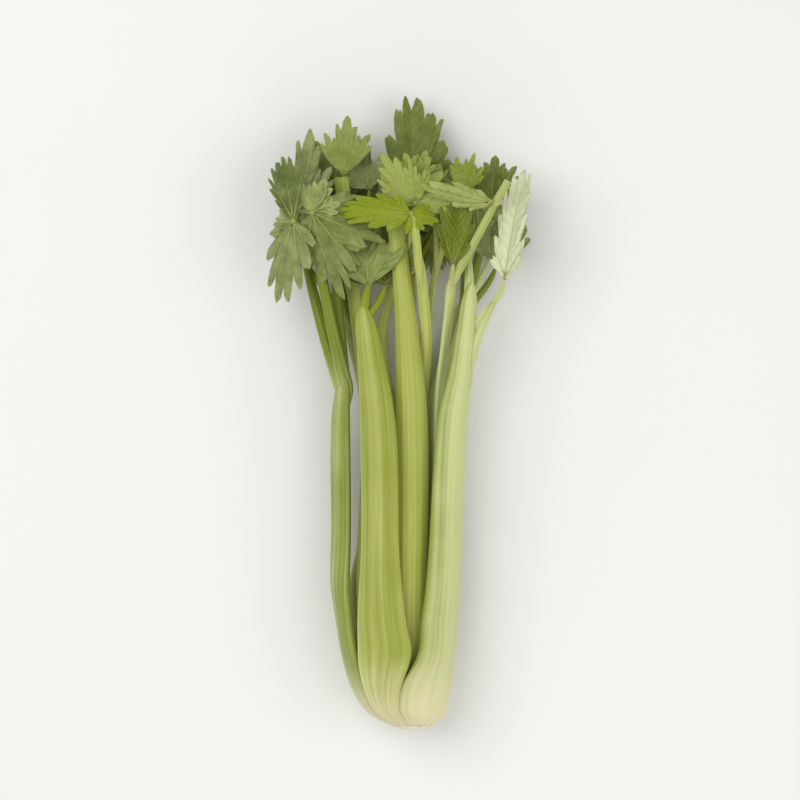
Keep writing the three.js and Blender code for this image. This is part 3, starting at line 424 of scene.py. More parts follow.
# The stage: each lamp's place, its width and its share of the power, and the camera's place over the table
LAMPS = (
    ("key", (-0.75, 0.45, 1.5), 1.3, 1.0),
    ("fill", (0.9, -0.2, 1.3), 1.2, 0.45),
    ("foot", (0.1, -1.3, 0.9), 1.0, 0.25),
)
LIT_PLACE = Vector((0, 0, 0.03))  # what the lamps are turned to
SKY_STRENGTH = 0.5
CAMERA_PLACE = (0.002, 0.0065)
CAMERA_LENS = 200.0  # in millimetres, as Blender keeps it
CAMERA_SENSOR = 36.0
TABLE_REACH = 4.0  # from the middle of the table top to its edges
TABLE_GAP = 0.0002  # between the table top and the head


def tone(red, green, blue):
    """A colour as Blender keeps it, from the red, green and blue of a screen, 0 to 255."""
    levels = [level / 255 for level in (red, green, blue)]
    return [v / 12.92 if v <= 0.04045 else ((v + 0.055) / 1.055) ** 2.4 for v in levels] + [1.0]


def colour(name, description, *screen):
    return FloatVectorProperty(
        name=name, description=description, default=tone(*screen), size=4, min=0.0, max=1.0, subtype="COLOR"
    )


def length(name, description, default, most):
    return FloatProperty(
        name=name, description=description, default=default, min=0.0, max=most, precision=5, unit="LENGTH"
    )


class StalkLook(bpy.types.PropertyGroup):
    """The shape and colours of the stalks' skin"""

    rib_height: length("Rib height", "How far a rib stands out of a stalk", 0.0003, 0.001)
    unevenness: length("Unevenness", "How far the skin wanders from its even form", 0.0004, 0.001)
    fibre_depth: length("Fibre depth", "How deep the fine fibres are in the skin", 0.00012, 0.001)
    fresh: colour("Fresh green", "The palest green of the skin", 206, 212, 146)
    deep: colour("Deep green", "The deepest green of the skin", 108, 124, 14)
    yellow: colour("Yellow green", "The skin of stalks that grew out of the light", 166, 171, 46)
    pale: colour("Base cream", "The skin at the foot of a stalk", 228, 219, 176)
    # The pale margin is a painted highlight along a stalk's edges
    margin: colour("Pale margin", "The skin along a stalk's paler edge", 218, 223, 176)
    hollow: colour("Hollow side", "The smooth inner side of a stalk", 190, 200, 120)
    flesh: colour("Cut flesh", "A cut face", 222, 220, 170)


class LeafLook(bpy.types.PropertyGroup):
    """The shape and colours of the leaves"""

    thickness: length("Thickness", "The thickness of a blade", 0.00045, 0.001)
    vein_depth: length("Vein depth", "How deep the main veins lie in the upper side", 0.0003, 0.001)
    crinkle: length("Crinkle", "How far the blade bulges between its veins", 0.00035, 0.001)
    deep: colour("Deep green", "The upper side of the oldest leaves", 50, 69, 5)
    fresh: colour("Fresh green", "The upper side of pale leaves", 208, 214, 150)
    # Silver green is partly the pale side of a turned-over leaf and partly painted glare
    silver: colour("Silver green", "The palest leaf, which is turned over", 214, 219, 184)
    yellow: colour("Yellow green", "The youngest leaves, from the heart", 134, 149, 0)
    vein: colour("Vein", "The veins, and the stem where it meets a leaf", 168, 176, 92)
    under: colour("Underside", "The lower side of the leaves", 150, 158, 94)


class ButtLook(bpy.types.PropertyGroup):
    """The shape and colours of the butt"""

    unevenness: length("Unevenness", "How rough the cut face is", 0.0003, 0.001)
    flesh: colour("Flesh", "The fresh flesh", 231, 225, 190)
    dry: colour("Dried rim", "Where the cut has dried", 196, 170, 118)


class StageLook(bpy.types.PropertyGroup):
    """The table, the lamps and the camera"""

    table: colour("Table", "The pale table top", 236, 236, 234)
    lamp_power: FloatProperty(
        name="Lamp power", description="The power of the large soft lamp", default=14.0, min=0.0,
        unit="POWER",
    )
    camera_height: length("Camera height", "How far above the table the camera hangs", 2.48, 10.0)


class CeleryLook(bpy.types.PropertyGroup):
    """Everything that a user would change on the head"""

    stalk: PointerProperty(type=StalkLook)
    leaf: PointerProperty(type=LeafLook)
    butt: PointerProperty(type=ButtLook)
    stage: PointerProperty(type=StageLook)


class Flow:
    """A socket of a material, which can be added to, multiplied and so on, each with a Math node."""

    def __init__(self, paint, socket):
        self.paint = paint
        self.socket = socket

    def math(self, operation, *values):
        return self.paint.node("Math", {"operation": operation}, dict(enumerate(values)))

    def __add__(self, other):
        return self.math("ADD", self, other)

    def __sub__(self, other):
        return self.math("SUBTRACT", self, other)

    def __rsub__(self, other):
        return self.math("SUBTRACT", other, self)

    def __mul__(self, other):
        return self.math("MULTIPLY", self, other)

    def __truediv__(self, other):
        return self.math("DIVIDE", self, other)

    def __rtruediv__(self, other):
        return self.math("DIVIDE", other, self)

    __radd__ = __add__
    __rmul__ = __mul__

    def absolute(self):
        return self.math("ABSOLUTE", self)

    def fraction(self):
        return self.math("FRACT", self)

    def step(self, low, high, start=0.0, end=1.0):
        """Start below low, end above high, and smooth between them."""
        return self.paint.node(
            "MapRange", {"interpolation_type": "SMOOTHSTEP"}, {0: self, 1: low, 2: high, 3: start, 4: end}
        )


class Paint:
    """A material that is being mixed from nodes."""

    def __init__(self, name):
        self.material = bpy.data.materials.new(name)
        self.material.use_nodes = True
        self.tree = self.material.node_tree
        self.shader = self.tree.nodes["Principled BSDF"]

    def node(self, kind, settings=None, inputs=None, output=0):
        """A new node of a kind, with its settings made first and its sockets then filled or joined."""
        made = self.tree.nodes.new("ShaderNode" + kind)
        for name, value in (settings or {}).items():
            setattr(made, name, value)
        for key, value in (inputs or {}).items():
            self.fill(made.inputs[key], value)
        return Flow(self, made.outputs[output])

    def fill(self, socket, value):
        if isinstance(value, Flow):
            self.tree.links.new(value.socket, socket)
        else:
            socket.default_value = value

    def attribute(self, name):
        """The three numbers that the mesh keeps at each point under a name."""
        vector = self.node("Attribute", {"attribute_name": name}, output="Vector")
        return [self.node("SeparateXYZ", inputs={0: vector}, output=i) for i in range(3)]

    def vector(self, x, y, z):
        return self.node("CombineXYZ", inputs={0: x, 1: y, 2: z})

    def place(self):
        """The place of a point in metres."""
        return self.node("TexCoord", output="Object")

    def noise(self, place, scale, detail=2.0, roughness=0.5):
        return self.node(
            "TexNoise", inputs={"Vector": place, "Scale": scale, "Detail": detail, "Roughness": roughness}
        )

    def cells(self, place, scale, feature):
        return self.node(
            "TexVoronoi", {"feature": feature}, {"Vector": place, "Scale": scale}, output="Distance"
        )

    def mix(self, share, first, second):
        """The first colour where share is 0, and the second where it is 1."""
        return self.node("Mix", {"data_type": "RGBA"}, {0: share, 6: first, 7: second}, output=2)

    def finish(self, colour, roughness, height, depth, strength=1.0, **constants):
        """Joins the pattern to the shader: height is a pattern from 0 to 1, depth what it is in metres."""
        self.fill(self.shader.inputs["Base Color"], colour)
        self.fill(self.shader.inputs["Roughness"], roughness)
        bump = self.node("Bump", inputs={"Strength": strength, "Distance": depth, "Height": height})
        self.fill(self.shader.inputs["Normal"], bump)
        for name, value in constants.items():
            self.shader.inputs[name.replace("_", " ")].default_value = value
        return self.material


def skin_material(look):
    """The skin of the stalks: fine fibres along it, pale at the foot and greener above."""
    paint = Paint("Ribbed stalk skin")
    across, inside, height = paint.attribute("skin")
    # deepness is a stalk's own depth of green, plus the painted shade and painted highlight on its edges
    deepness, yellowness, rib = paint.attribute("tint")
    place = paint.place()

    # Four patterns that run along a stalk, from wide to fine, and one of soft clouds
    bands = paint.noise(paint.vector(across * 2.6, yellowness * 4, height * 2.5), 1.0, 1.0)
    streaks = paint.noise(paint.vector(across * 7, inside * 5 + yellowness, height * 9), 1.0, 3.0)
    fibres = paint.vector(across * 34, inside * 26, height * 16 + yellowness)
    fibres = paint.noise(fibres, 1.0, 3.0, 0.6)
    threads = paint.noise(paint.vector(across * 90, inside * 60, height * 30), 1.0, 2.0)
    clouds = paint.noise(place, 38.0, 3.0)

    shade = deepness + (clouds - 0.5) * 0.4 + (streaks - 0.5) * 0.6 + (bands - 0.5) * 0.9
    green = paint.mix(shade.step(-0.05, 1.1), look.fresh, look.deep)
    skin = paint.mix(yellowness * 0.75, green, look.yellow)
    # Painted shade: the grooves between the ribs of the stalks and stems are darkened towards the deep
    # green
    skin = paint.mix((1 - rib) * (1 - inside) * 0.12, skin, look.deep)
    skin = paint.mix((fibres - 0.5).step(0.0, 0.22) * 0.35, skin, look.fresh)
    skin = paint.mix(inside * 0.7, skin, look.hollow)

    # The cream foot, the painted highlight along a stalk's edges, and the rust and specks near the cut
    foot = height + deepness * 0.016 + (streaks - 0.5) * 0.03 + (clouds - 0.5) * 0.012
    foot = foot.step(0.008, 0.056)
    skin = paint.mix((1 - foot) * 0.92, skin, look.pale)
    # Painted highlight along both edges of a stalk, fainter where its green is deep
    margin = (across.absolute() + (streaks - 0.5) * 0.2).step(0.72, 1.0)
    skin = paint.mix(margin * (1 - deepness).step(0.2, 0.8) * 0.5, skin, look.margin)
    rust = (threads - 0.5).step(0.02, 0.2) * (height + (clouds - 0.5) * 0.02).step(0.006, 0.034, 1.0, 0.0)
    skin = paint.mix(rust * 0.25, skin, tone(186, 166, 98))
    specks = paint.cells(place, 420.0, "F1").step(0.06, 0.12, 1.0, 0.0)
    specks = specks * paint.noise(place, 70.0).step(0.58, 0.66)
    skin = paint.mix(specks * (1 - foot) * 0.5, skin, tone(160, 132, 84))
    relief = fibres * 0.6 + threads * 0.25 + streaks * 0.5
    return paint.finish(
        skin, 0.36 + fibres * 0.18, relief, look.fibre_depth, 0.8, Specular_IOR_Level=0.36,
        Subsurface_Weight=0.22, Subsurface_Radius=(0.6, 1.0, 0.25), Subsurface_Scale=0.004,
    )


def flesh_material(name, flesh, dry, strand):
    """A cut face: moist flesh with darker strands, dried here and there."""
    paint = Paint(name)
    place = paint.place()
    clouds = paint.noise(place, 260.0, 3.0)
    grain = paint.noise(place, 1900.0, 2.0)
    strands = paint.cells(place, 470.0, "F1").step(0.1, 0.26, 1.0, 0.0)
    skin = paint.mix(clouds.step(0.42, 0.72) * 0.55, flesh, dry)
    skin = paint.mix(strands * 0.5, skin, strand)
    return paint.finish(
        skin, 0.42 + grain * 0.2, grain * 0.5 + strands, 0.00015, 0.7,
        Subsurface_Weight=0.25, Subsurface_Radius=(1.0, 0.9, 0.4), Subsurface_Scale=0.003,
    )


def leaf_material(name, look, upper):
    """A leaf's side: main veins, side veins that leave them at a slant, and a fine net between."""
    paint = Paint(name)
    along, across, rim = paint.attribute("vein")
    paleness, yellowness, period = paint.attribute("tint")
    place = paint.place()
    clouds = paint.noise(place, 130.0, 3.0)

    main = (across / (0.00062 - rim * 0.0005)).step(0.35, 1.0, 1.0, 0.0)
    wandering = (paint.noise(place, 180.0, 2.0) - 0.5) * 0.0026
    between = ((along - across * VEIN_SLANT + wandering) / period).fraction() - 0.5
    side = (between.absolute() * (0.6 + rim)).step(0.02, 0.085, 1.0, 0.0)
    side = side * (across / 0.0008).step(0.3, 1.0)
    net = paint.cells(place, 640.0, "DISTANCE_TO_EDGE").step(0.0, 0.1, 1.0, 0.0)

    shade = paleness + (clouds - 0.5) * 0.7 + rim * 0.15
    green = paint.mix(shade.step(-0.15, 1.15), look.deep, look.fresh)
    # Leaves with a paleness above 1 go silver: partly their own pale turned-over side, partly painted glare
    green = paint.mix((paleness - 1).step(0.0, 0.3), green, look.silver)
    skin = paint.mix(yellowness, green, look.yellow)
    if not upper:
        skin = paint.mix(0.62 - yellowness * 0.35, skin, look.under)
    faint = 1 - yellowness * 0.5
    skin = paint.mix((net * 0.12 + side * 0.26) * faint, skin, look.vein)
    skin = paint.mix(main * (0.8 - rim * 0.4) * faint, skin, look.vein)
    skin = paint.mix(rim.step(0.96, 1.0) * 0.25, skin, look.vein)
    swell = main * 0.9 + side * 0.6 + net * 0.25
    relief = (1 - swell if upper else swell) + clouds * 0.3
    return paint.finish(
        skin, (0.4 if upper else 0.56) + clouds * 0.16, relief, 0.00022, 0.8, Specular_IOR_Level=0.36,
        Subsurface_Weight=0.12, Subsurface_Radius=(0.5, 1.0, 0.15), Subsurface_Scale=0.002,
    )


def table_material(top):
    """A pale matt table top with a faint grain."""
    paint = Paint("Pale table")
    place = paint.place()
    clouds = paint.noise(place, 6.0, 4.0)
    grain = paint.noise(place, 900.0, 2.0)
    skin = paint.mix(clouds.step(0.3, 0.7) * 0.06, top, tone(226, 225, 221))
    return paint.finish(skin, 0.7 + clouds * 0.1, grain, 0.00005, 0.2)


def along(pairs, at):
    """The value at a height, on a smooth curve through (height, value) pairs, level past its ends."""
    last = len(pairs) - 1
    if at <= pairs[0][0]:
        return pairs[0][1]
    if at >= pairs[last][0]:
        return pairs[last][1]
    i = next(k for k, pair in enumerate(pairs) if pair[0] > at) - 1

    def slope(k):
        before, after = pairs[max(k - 1, 0)], pairs[min(k + 1, last)]
        return (after[1] - before[1]) / (after[0] - before[0])

    span = pairs[i + 1][0] - pairs[i][0]
    t = (at - pairs[i][0]) / span
    rise = t * t * (3 - 2 * t)
    leave = slope(i) * span * t * (1 - t) * (1 - t)
    arrive = slope(i + 1) * span * t * t * (t - 1)
    return pairs[i][1] + (pairs[i + 1][1] - pairs[i][1]) * rise + leave + arrive


def ramp(value, low, high):
    """0 below low, 1 above high, and straight between them."""
    return min(max((value - low) / (high - low), 0.0), 1.0)


def wander(place, seed):
    """A smooth random number from about -1 to 1 that is the same at each run."""
    return noise.noise(Vector(place) + Vector((seed, 0, -seed)))


def layered(*names):
    """A new bmesh, with a layer for each name of the numbers that its vertices keep."""
    bm = bmesh.new()
    return bm, *(bm.verts.layers.float_vector.new(name) for name in names)


def grid(bm, columns, rows):
    """A flat grid of faces in the bmesh, as (vertex, column, row) for each of its vertices."""
    made = bmesh.ops.create_grid(bm, x_segments=columns, y_segments=rows, size=1.0)["verts"]
    return [(v, round((v.co.x + 1) / 2 * columns), round((v.co.y + 1) / 2 * rows)) for v in made]


def shade_smooth(bm):
    for face in bm.faces:
        face.smooth = True


def finish_tube(bm, cut_rim):
    """Sews a tube's seam, closes each open end with a flat cut face, and turns the faces outwards."""
    bmesh.ops.remove_doubles(bm, verts=bm.verts, dist=SEAM)
    shade_smooth(bm)
    open_edges = [edge for edge in bm.edges if edge.is_boundary]
    if open_edges:
        caps = bmesh.ops.holes_fill(bm, edges=open_edges, sides=0)["faces"]
        for cap in caps:
            for edge in cap.edges:
                edge.smooth = False
        bmesh.ops.inset_region(bm, faces=caps, thickness=cut_rim, depth=-cut_rim / 3, use_even_offset=True)
        for face in bm.faces:
            if len(face.verts) > 4:
                face.material_index = 1
                face.smooth = False
    bmesh.ops.recalc_face_normals(bm, faces=bm.faces)


def steady(course):
    """Pairs of a height and a value, also for a value that is the same at every height."""
    return course if isinstance(course, tuple) else ((0.0, course),)


def stalk_knots(stalk):
    """The place, face, width and wrap of one stalk, as pairs of a height and a value."""
    ring, path = RINGS[stalk["ring"]], stalk["path"]
    face, half = steady(stalk["face"]), steady(stalk.get("half", ring.get("half")))
    base = []
    for y, reach in ring["reach"]:
        angle = math.radians(along(face, y))
        base.append((
            y,
            along(AXIS_X, y) + reach * along(SQUEEZE_X, y) * math.cos(angle),
            along(AXIS_Z, y) + reach * along(SQUEEZE_Z, y) * math.sin(angle),
            2 * reach * math.sin(math.radians(along(half, y))),
        ))
    clasping = [(k[0], k[3]) for k in base if k[0] <= CLASPING]
    return {
        "x": [k[:2] for k in base] + [p[:2] for p in path],
        "z": [(k[0], k[2]) for k in base] + [(p[0], p[2]) for p in path],
        "face": [(y, along(face, y)) for y in BASE_ROWS] + [(p[0], p[3]) for p in path],
        "width": clasping + list(stalk["widths"]) + [(p[0], p[4]) for p in path],
        "wrap": [(y, max(along(half, y), 0 if y < BASE_ROWS[-1] else FREE_WRAP)) for y in BASE_ROWS]
        + [*WRAPS, (path[-1][0], TOP_WRAP)],
    }


def section(ring, knots, y, look, seed):
    """A stalk's section at one height, as the place, side, hollow and rib of each point round it."""
    x, z, width = along(knots["x"], y), along(knots["z"], y), along(knots["width"], y)
    face, wrap = math.radians(along(knots["face"], y)), math.radians(along(knots["wrap"], y))
    radius = width / 2 / math.sin(wrap)
    wall = min(along(ring["wall"], y), WALL_LIMIT * radius)
    edge = wall * EDGE_WALL
    turn = min(EDGE_TURN, edge / 2) / (radius * wrap)
    closing = BASE_CLOSING * (1 - ramp(y, *CLOSING_FADE))
    full = 1 - turn + closing / (radius * wrap)
    outer = ring["ribs"] * RIB_STEPS

    def point(share, depth, hollow, rib):
        angle = face + share * wrap
        bump = look.rib_height * rib * (1 - hollow)
        spot = (share * SKIN_GRAIN[0], y * SKIN_GRAIN[1], hollow)
        bump += look.unevenness * (1 - hollow * 0.5) * wander(spot, seed)
        distance = radius - depth + bump
        across = distance * math.cos(angle) - radius * math.cos(face)
        up = distance * math.sin(angle) - radius * math.sin(face)
        return Vector((x + across, y, max(z + up, 0.0))), share, hollow, rib

    def rounded_edge(side, turned):
        """The points round one edge, from shares of the half turn between the outer side and the hollow."""
        for t in turned:
            depth = edge / 2 * (1 - math.cos(math.pi * t))
            yield point(side * (full + turn * math.sin(math.pi * t)), depth, t, 0.5)

    points = []
    faded = BASE_GROOVE + (1 - BASE_GROOVE) * ramp(y, 0.0, BASE_ROWS[-1])
    for i in range(outer + 1):
        share = -1 + 2 * i / outer
        rib = abs(math.sin(math.pi * i / RIB_STEPS)) ** RIB_ROUNDNESS
        spot = (share * GROOVE_GRAIN[0], y * GROOVE_GRAIN[1], 3.0)
        groove = GROOVE_USUAL + GROOVE_VARIETY * wander(spot, seed)
        rib = 1 - (1 - rib) * min(max(groove, GROOVE_FAINTEST), 1.0) * faded
        points.append(point(share * full, 0.0, 0.0, rib))
    turned = [k / EDGE_STEPS for k in range(1, EDGE_STEPS)]
    points += rounded_edge(1, turned)
    for i in range(HOLLOW_STEPS + 1):
        share = 1 - 2 * i / HOLLOW_STEPS
        points.append(point(share * full, wall * (1 - (1 - EDGE_WALL) * share * share), 1.0, 0.5))
    points += rounded_edge(-1, reversed(turned))
    return points + points[:1]


def stalk_rows(stalk):
    """The heights of a stalk's sections, and the share of its size that each one has."""
    first, top = RINGS[stalk["ring"]]["reach"][0][0], stalk["path"][-1][0]
    rounding = 0.0 if stalk.get("cut") else TIP_ROUNDING
    rows = [(first, 1.0)]
    while rows[-1][0] < top - rounding - BASE_STEP:
        step = BASE_STEP if rows[-1][0] < FINE_BASE else STALK_STEP
        rows.append((min(rows[-1][0] + step, top - rounding), 1.0))
    if rounding:
        for k in range(1, TIP_STEPS + 1):
            lean = math.pi / 2 * k / TIP_STEPS
            rows.append((top - rounding * (1 - math.sin(lean)), math.cos(lean)))
    return rows


def stalk_body(stalk, look, seed):
    """A stalk up to where it branches, as a bmesh with its own skin and tint numbers."""
    bm, skin, tint = layered("skin", "tint")
    ring = RINGS[stalk["ring"]]
    deep, yellow, aside = stalk["tint"]
    knots = stalk_knots(stalk)
    rows = stalk_rows(stalk)
    rings = []
    for y, size in rows:
        points = section(ring, knots, y, look, seed)
        middle = sum((p[0] for p in points), Vector()) / len(points)
        rings.append([(middle.lerp(p[0], size), *p[1:]) for p in points])
    for vertex, column, row in grid(bm, len(rings[0]) - 1, len(rows) - 1):
        place, share, hollow, rib = rings[row][column]
        vertex.co = place - MIDDLE
        vertex[skin] = (share, hollow, rows[row][0])
        # Painted shade on one edge and a painted highlight on the other, the shaded edge a little more
        # yellow
        edge_shade_and_highlight = aside * share ** 3
        vertex[tint] = (deep + edge_shade_and_highlight, yellow + SHADED_EDGE_YELLOWING * max(edge_shade_and_highlight, 0.0), rib)
    finish_tube(bm, STALK_CUT_RIM)
    return bm


def root_line(stalk, start, heading):
    """The places of a stem's root, which runs up inside its stalk and then bends to the stem's start."""
    path = stalk["path"]
    if start.y > path[-1][0]:
        return [start - heading * STUB]
    knots = stalk_knots(stalk)
    low = start.y - ROOT_REACH
    face = math.radians(along(knots["face"], low))
    depth = along(RINGS[stalk["ring"]]["wall"], low) / 2
    x, z = along(knots["x"], low), along(knots["z"], low)
    foot = Vector((x - depth * math.cos(face), low, z - depth * math.sin(face)))
    bend = start - heading * ROOT_REACH * ROOT_BEND
    return [curve(foot, bend, start, k / ROOT_STEPS) for k in range(ROOT_STEPS)]


def curve(start, via, end, t):
    """The place at a share of the way along a curve that bends towards a place between its ends."""
    return start * (1 - t) ** 2 + via * 2 * t * (1 - t) + end * t * t


def stem_body(start, via, end, thick, stalk, cut):
    """A leaf stem: a round, ribbed bar along one bend, which swells out of its stalk."""
    bm, skin, tint = layered("skin", "tint")
    deep, yellow, _ = stalk["tint"]
    a, b, c = (Vector(p) for p in (start, via, end))
    size = (b - a).length + (c - b).length
    steps = max(STEM_LEAST_STEPS, round(size / STEM_STEP))
    root = root_line(stalk, a, (b - a).normalized())
    line = [(place, k / len(root) - 1) for k, place in enumerate(root)]
    line += [(curve(a, b, c, i / steps), i / steps) for i in range(steps + 1)]
    frames = []
    normal = Vector((0, 0, 1))
    for i, (centre, t) in enumerate(line):
        tangent = (line[min(i + 1, len(line) - 1)][0] - line[max(i - 1, 0)][0]).normalized()
        normal = (normal - tangent * normal.dot(tangent)).normalized()
        radius = (thick[0] + (thick[1] - thick[0]) * max(t, 0.0)) / 2
        radius *= 1 - ROOT_THINNING * min(-t, 1.0) ** 1.5 if t < 0 else 1.0
        if not cut:
            radius *= 1 - TIP_THINNING * max(0.0, 1 - (1 - t) * size / TIP_LENGTH) ** 2
        grown = ramp(t, 0.0, STEM_GREENING)
        frames.append((centre, normal.copy(), tangent.cross(normal), radius, tangent, grown))
    ends = [(frames[0], math.sin(lean), -math.cos(lean)) for lean in CAP_LEANS]
    ends += [(frame, 1.0, 0.0) for frame in frames]
    if not cut:
        leans = (*CAP_LEANS[1:], math.pi / 2)
        ends += [(frames[-1], math.cos(lean), math.sin(lean) * CAP_LENGTH) for lean in leans]
    for vertex, column, row in grid(bm, STEM_SIDES, len(ends) - 1):
        (centre, normal, side, radius, tangent, grown), share, ahead = ends[row]
        angle = 2 * math.pi * column / STEM_SIDES
        wave = math.cos(STEM_RIBS * angle + 0.6)
        out = radius * share * (1 + STEM_RIB_HEIGHT * wave)
        place = centre + (normal * math.cos(angle) + side * math.sin(angle)) * out
        place += tangent * radius * ahead
        vertex.co = place - MIDDLE
        vertex[skin] = (math.asin(math.sin(angle)) / math.pi, 0.0, place.y)
        deepness = deep * (1 + (STEM_DEEPENING - 1) * grown)
        vertex[tint] = (deepness, yellow, 0.5 + 0.5 * wave)
    finish_tube(bm, STEM_CUT_RIM)
    return bm


def put_together(parts):
    """One bmesh that holds all the parts."""
    whole = bmesh.new()
    for part in parts:
        carrier = bpy.data.meshes.new("carrier")
        part.to_mesh(carrier)
        part.free()
        whole.from_mesh(carrier)
        bpy.data.meshes.remove(carrier)
    return whole


def piece(node, bm, slot, *materials):
    """Puts a finished bmesh into the scene in place of a solid."""
    mesh = bpy.data.meshes.new(node + "_fine")
    bm.to_mesh(mesh)
    bm.free()
    for material in materials:
        mesh.materials.append(material)
    made = bpy.data.objects.new(node + "_fine", mesh)
    bpy.context.scene.collection.objects.link(made)
    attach(made, "root")
    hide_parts(node)
    return made


def leaf_rim(cut, spread, sway):
    """The rim of a leaflet, as (angle, reach, is a notch) from one side of the rib's root to the other."""
    teeth, sinus, lobes, _ = CUTS[cut]
    grown = []
    for lobe, (middle, half, reach) in enumerate(lobes):
        free = min(half / WIDE_LOBE, 1)
        turn = SWAY_TURN * free * math.sin(2.1 * lobe + sway)
        stretch = SWAY_REACH * free * math.sin(3.7 * lobe + 1.3 * sway)
        grown.append((middle + turn, half, reach * (1 + stretch)))
    rim = []
    for lobe, (middle, half, reach) in enumerate(grown):
        for tooth in range(teeth):
            share = 2 * tooth / (teeth - 1) - 1 if teeth > 1 else 0
            angle, tip = middle + share * half * TOOTH_ROOM, reach * (1 - LOBE_FALL * abs(share))
            if tooth:
                rim.append(((rim[-1][0] + angle) / 2, NOTCH * min(rim[-1][1], tip), True))
            rim.append((angle, tip, False))
        if lobe + 1 < len(grown):
            after = grown[lobe + 1]
            rim.append(((middle + half + after[0] - after[1]) / 2, sinus * min(reach, after[2]), True))
    first, last = rim[0][0] - SHOULDER_TURN, rim[-1][0] + SHOULDER_TURN
    rim = [(first, SHOULDER, True), *rim, (last, SHOULDER, True)]
    return [(math.radians(angle * spread), reach, notch) for angle, reach, notch in rim]


def fine_rim(cut, spread, sway):
    """The rim with round teeth, some of them doubled, and sharp notches, as (angle, reach)."""
    rim = leaf_rim(cut, spread, sway)
    fine = []
    for index, (before, after) in enumerate(zip(rim, rim[1:])):
        doubling = TOOTH_DOUBLING * math.sin(1.9 * index + sway)
        for k in range(RIM_STEPS):
            t = k / RIM_STEPS
            quarter = math.sin(math.pi / 2 * (t if before[2] else 1 - t)) ** TOOTH_ROUNDNESS
            rise = quarter if before[2] else 1 - quarter
            reach = before[1] + (after[1] - before[1]) * rise + doubling * math.sin(2 * math.pi * t)
            fine.append((before[0] + (after[0] - before[0]) * t, reach))
    return fine + [rim[-1][:2]]


def leaf_frame(at, heading, pitch, roll, size, droop, fold):
    """A leaflet's place and directions, and how it bends and folds."""
    h, p, r = (math.radians(angle) for angle in (heading, pitch, roll))
    forward = Vector((math.cos(h) * math.cos(p), math.sin(h) * math.cos(p), math.sin(p)))
    level = Vector((-math.sin(h), math.cos(h), 0.0))
    side = level * math.cos(r) + forward.cross(level) * math.sin(r)
    return {
        "at": Vector(at), "forward": forward, "side": side, "up": forward.cross(side),
        "size": size, "bend": math.radians(droop) / size, "fold": math.radians(fold),
    }


def leaf_point(leaf, angle, reach, relief):
    """A place on a leaflet's middle surface, from an angle off its rib and a reach from its root."""
    size, bend = leaf["size"], leaf["bend"]
    share = reach / size
    turn = angle * (1 - VEIN_SWEEP * share)
    p, q = reach * math.cos(turn), reach * math.sin(turn)
    forward = math.sin(bend * p) / bend
    fall = (1 - math.cos(bend * p)) / bend
    folded = (math.hypot(q, FOLD_SOFT) - FOLD_SOFT) * math.sin(leaf["fold"])
    lift = folded + relief + WAVE * size * share * share * math.sin(WAVES * angle + 1000 * size)
    return (
        leaf["at"]
        + leaf["forward"] * (forward + lift * math.sin(bend * p))
        + leaf["side"] * (q * math.cos(leaf["fold"]))
        + leaf["up"] * (lift * math.cos(bend * p) - fall)
    )


def leaf_blade(at, row, tint_at, look, seed):
    """One leaflet: a toothed blade with sunken veins, a rib under each lobe and a crinkled margin."""
    bm, vein, tint = layered("vein", "tint")
    shape, (cut, spread, *paler) = row[:6], row[6:]
    leaf = leaf_frame(at, *shape)
    size = leaf["size"]
    rim = fine_rim(cut, spread, row[0] + 1000 * size)
    middles = [math.radians(angle * spread) for angle in CUTS[cut][3]]
    period = VEIN_PERIOD + VEIN_PERIOD_GROWTH * size
    pale = tint_at[0] + sum(paler)
    for vertex, column, level in grid(bm, len(rim) - 1, BLADE_ROWS):
        angle, reach = rim[len(rim) - 1 - column]
        share = level / BLADE_ROWS
        reached = reach * share
        outward = reached * size
        off = min(abs(angle - middle) for middle in middles)
        down, aside = outward * math.cos(off), outward * math.sin(off)
        ridges = math.cos(2 * math.pi * (down - VEIN_SLANT * aside) / period)
        near = math.exp(-((aside / VEIN_WIDTH) ** 2))
        relief = -look.vein_depth * near * (1 - 0.6 * share)
        relief -= look.crinkle * ridges * (1 - near) * min(share * 2, 1.0)
        relief += DISHING * aside * share
        relief += RIPPLE * size * share ** 3 * math.sin(RIPPLES * angle / spread + 700 * size)
        relief += BUCKLE * size * reached * wander((down * BUCKLE_GRAIN, aside * BUCKLE_GRAIN, angle), seed)
        relief -= TIP_FALL * size * reached ** 4
        vertex.co = leaf_point(leaf, angle, outward, relief) - MIDDLE
        vertex[vein] = (down, aside, share)
        vertex[tint] = (pale, tint_at[1], period)
    bmesh.ops.remove_doubles(bm, verts=bm.verts, dist=SEAM)
    bm.normal_update()
    upper = set(bm.verts)
    lower = bmesh.ops.solidify(bm, geom=list(bm.faces), thickness=look.thickness)["geom"]
    bm.normal_update()
    for vertex in (g for g in lower if isinstance(g, bmesh.types.BMVert) and g not in upper):
        down, aside, share = vertex[vein]
        stout = RIB_STOUTNESS * max(0.0, 1 - down / size) ** 1.2
        swell = math.exp(-((aside / (RIB_NARROWEST + stout * 0.6)) ** 2)) * (1 - share ** 4)
        vertex.co += vertex.normal * stout * swell
    shade_smooth(bm)
    for face in (g for g in lower if isinstance(g, bmesh.types.BMFace)):
        face.material_index = 1
    return bm


def leaf_knot(at, tint_at):
    """The small round knot where the leaflets of a group meet their stem."""
    bm, vein, tint = layered("vein", "tint")
    centre = Matrix.Translation(Vector(at) - MIDDLE)
    made = bmesh.ops.create_icosphere(bm, subdivisions=3, radius=NECK, matrix=centre)
    for vertex in made["verts"]:
        vertex[vein] = (0.0, 0.0, 0.0)
        vertex[tint] = (*tint_at, KNOT_PERIOD)
    shade_smooth(bm)
    return bm


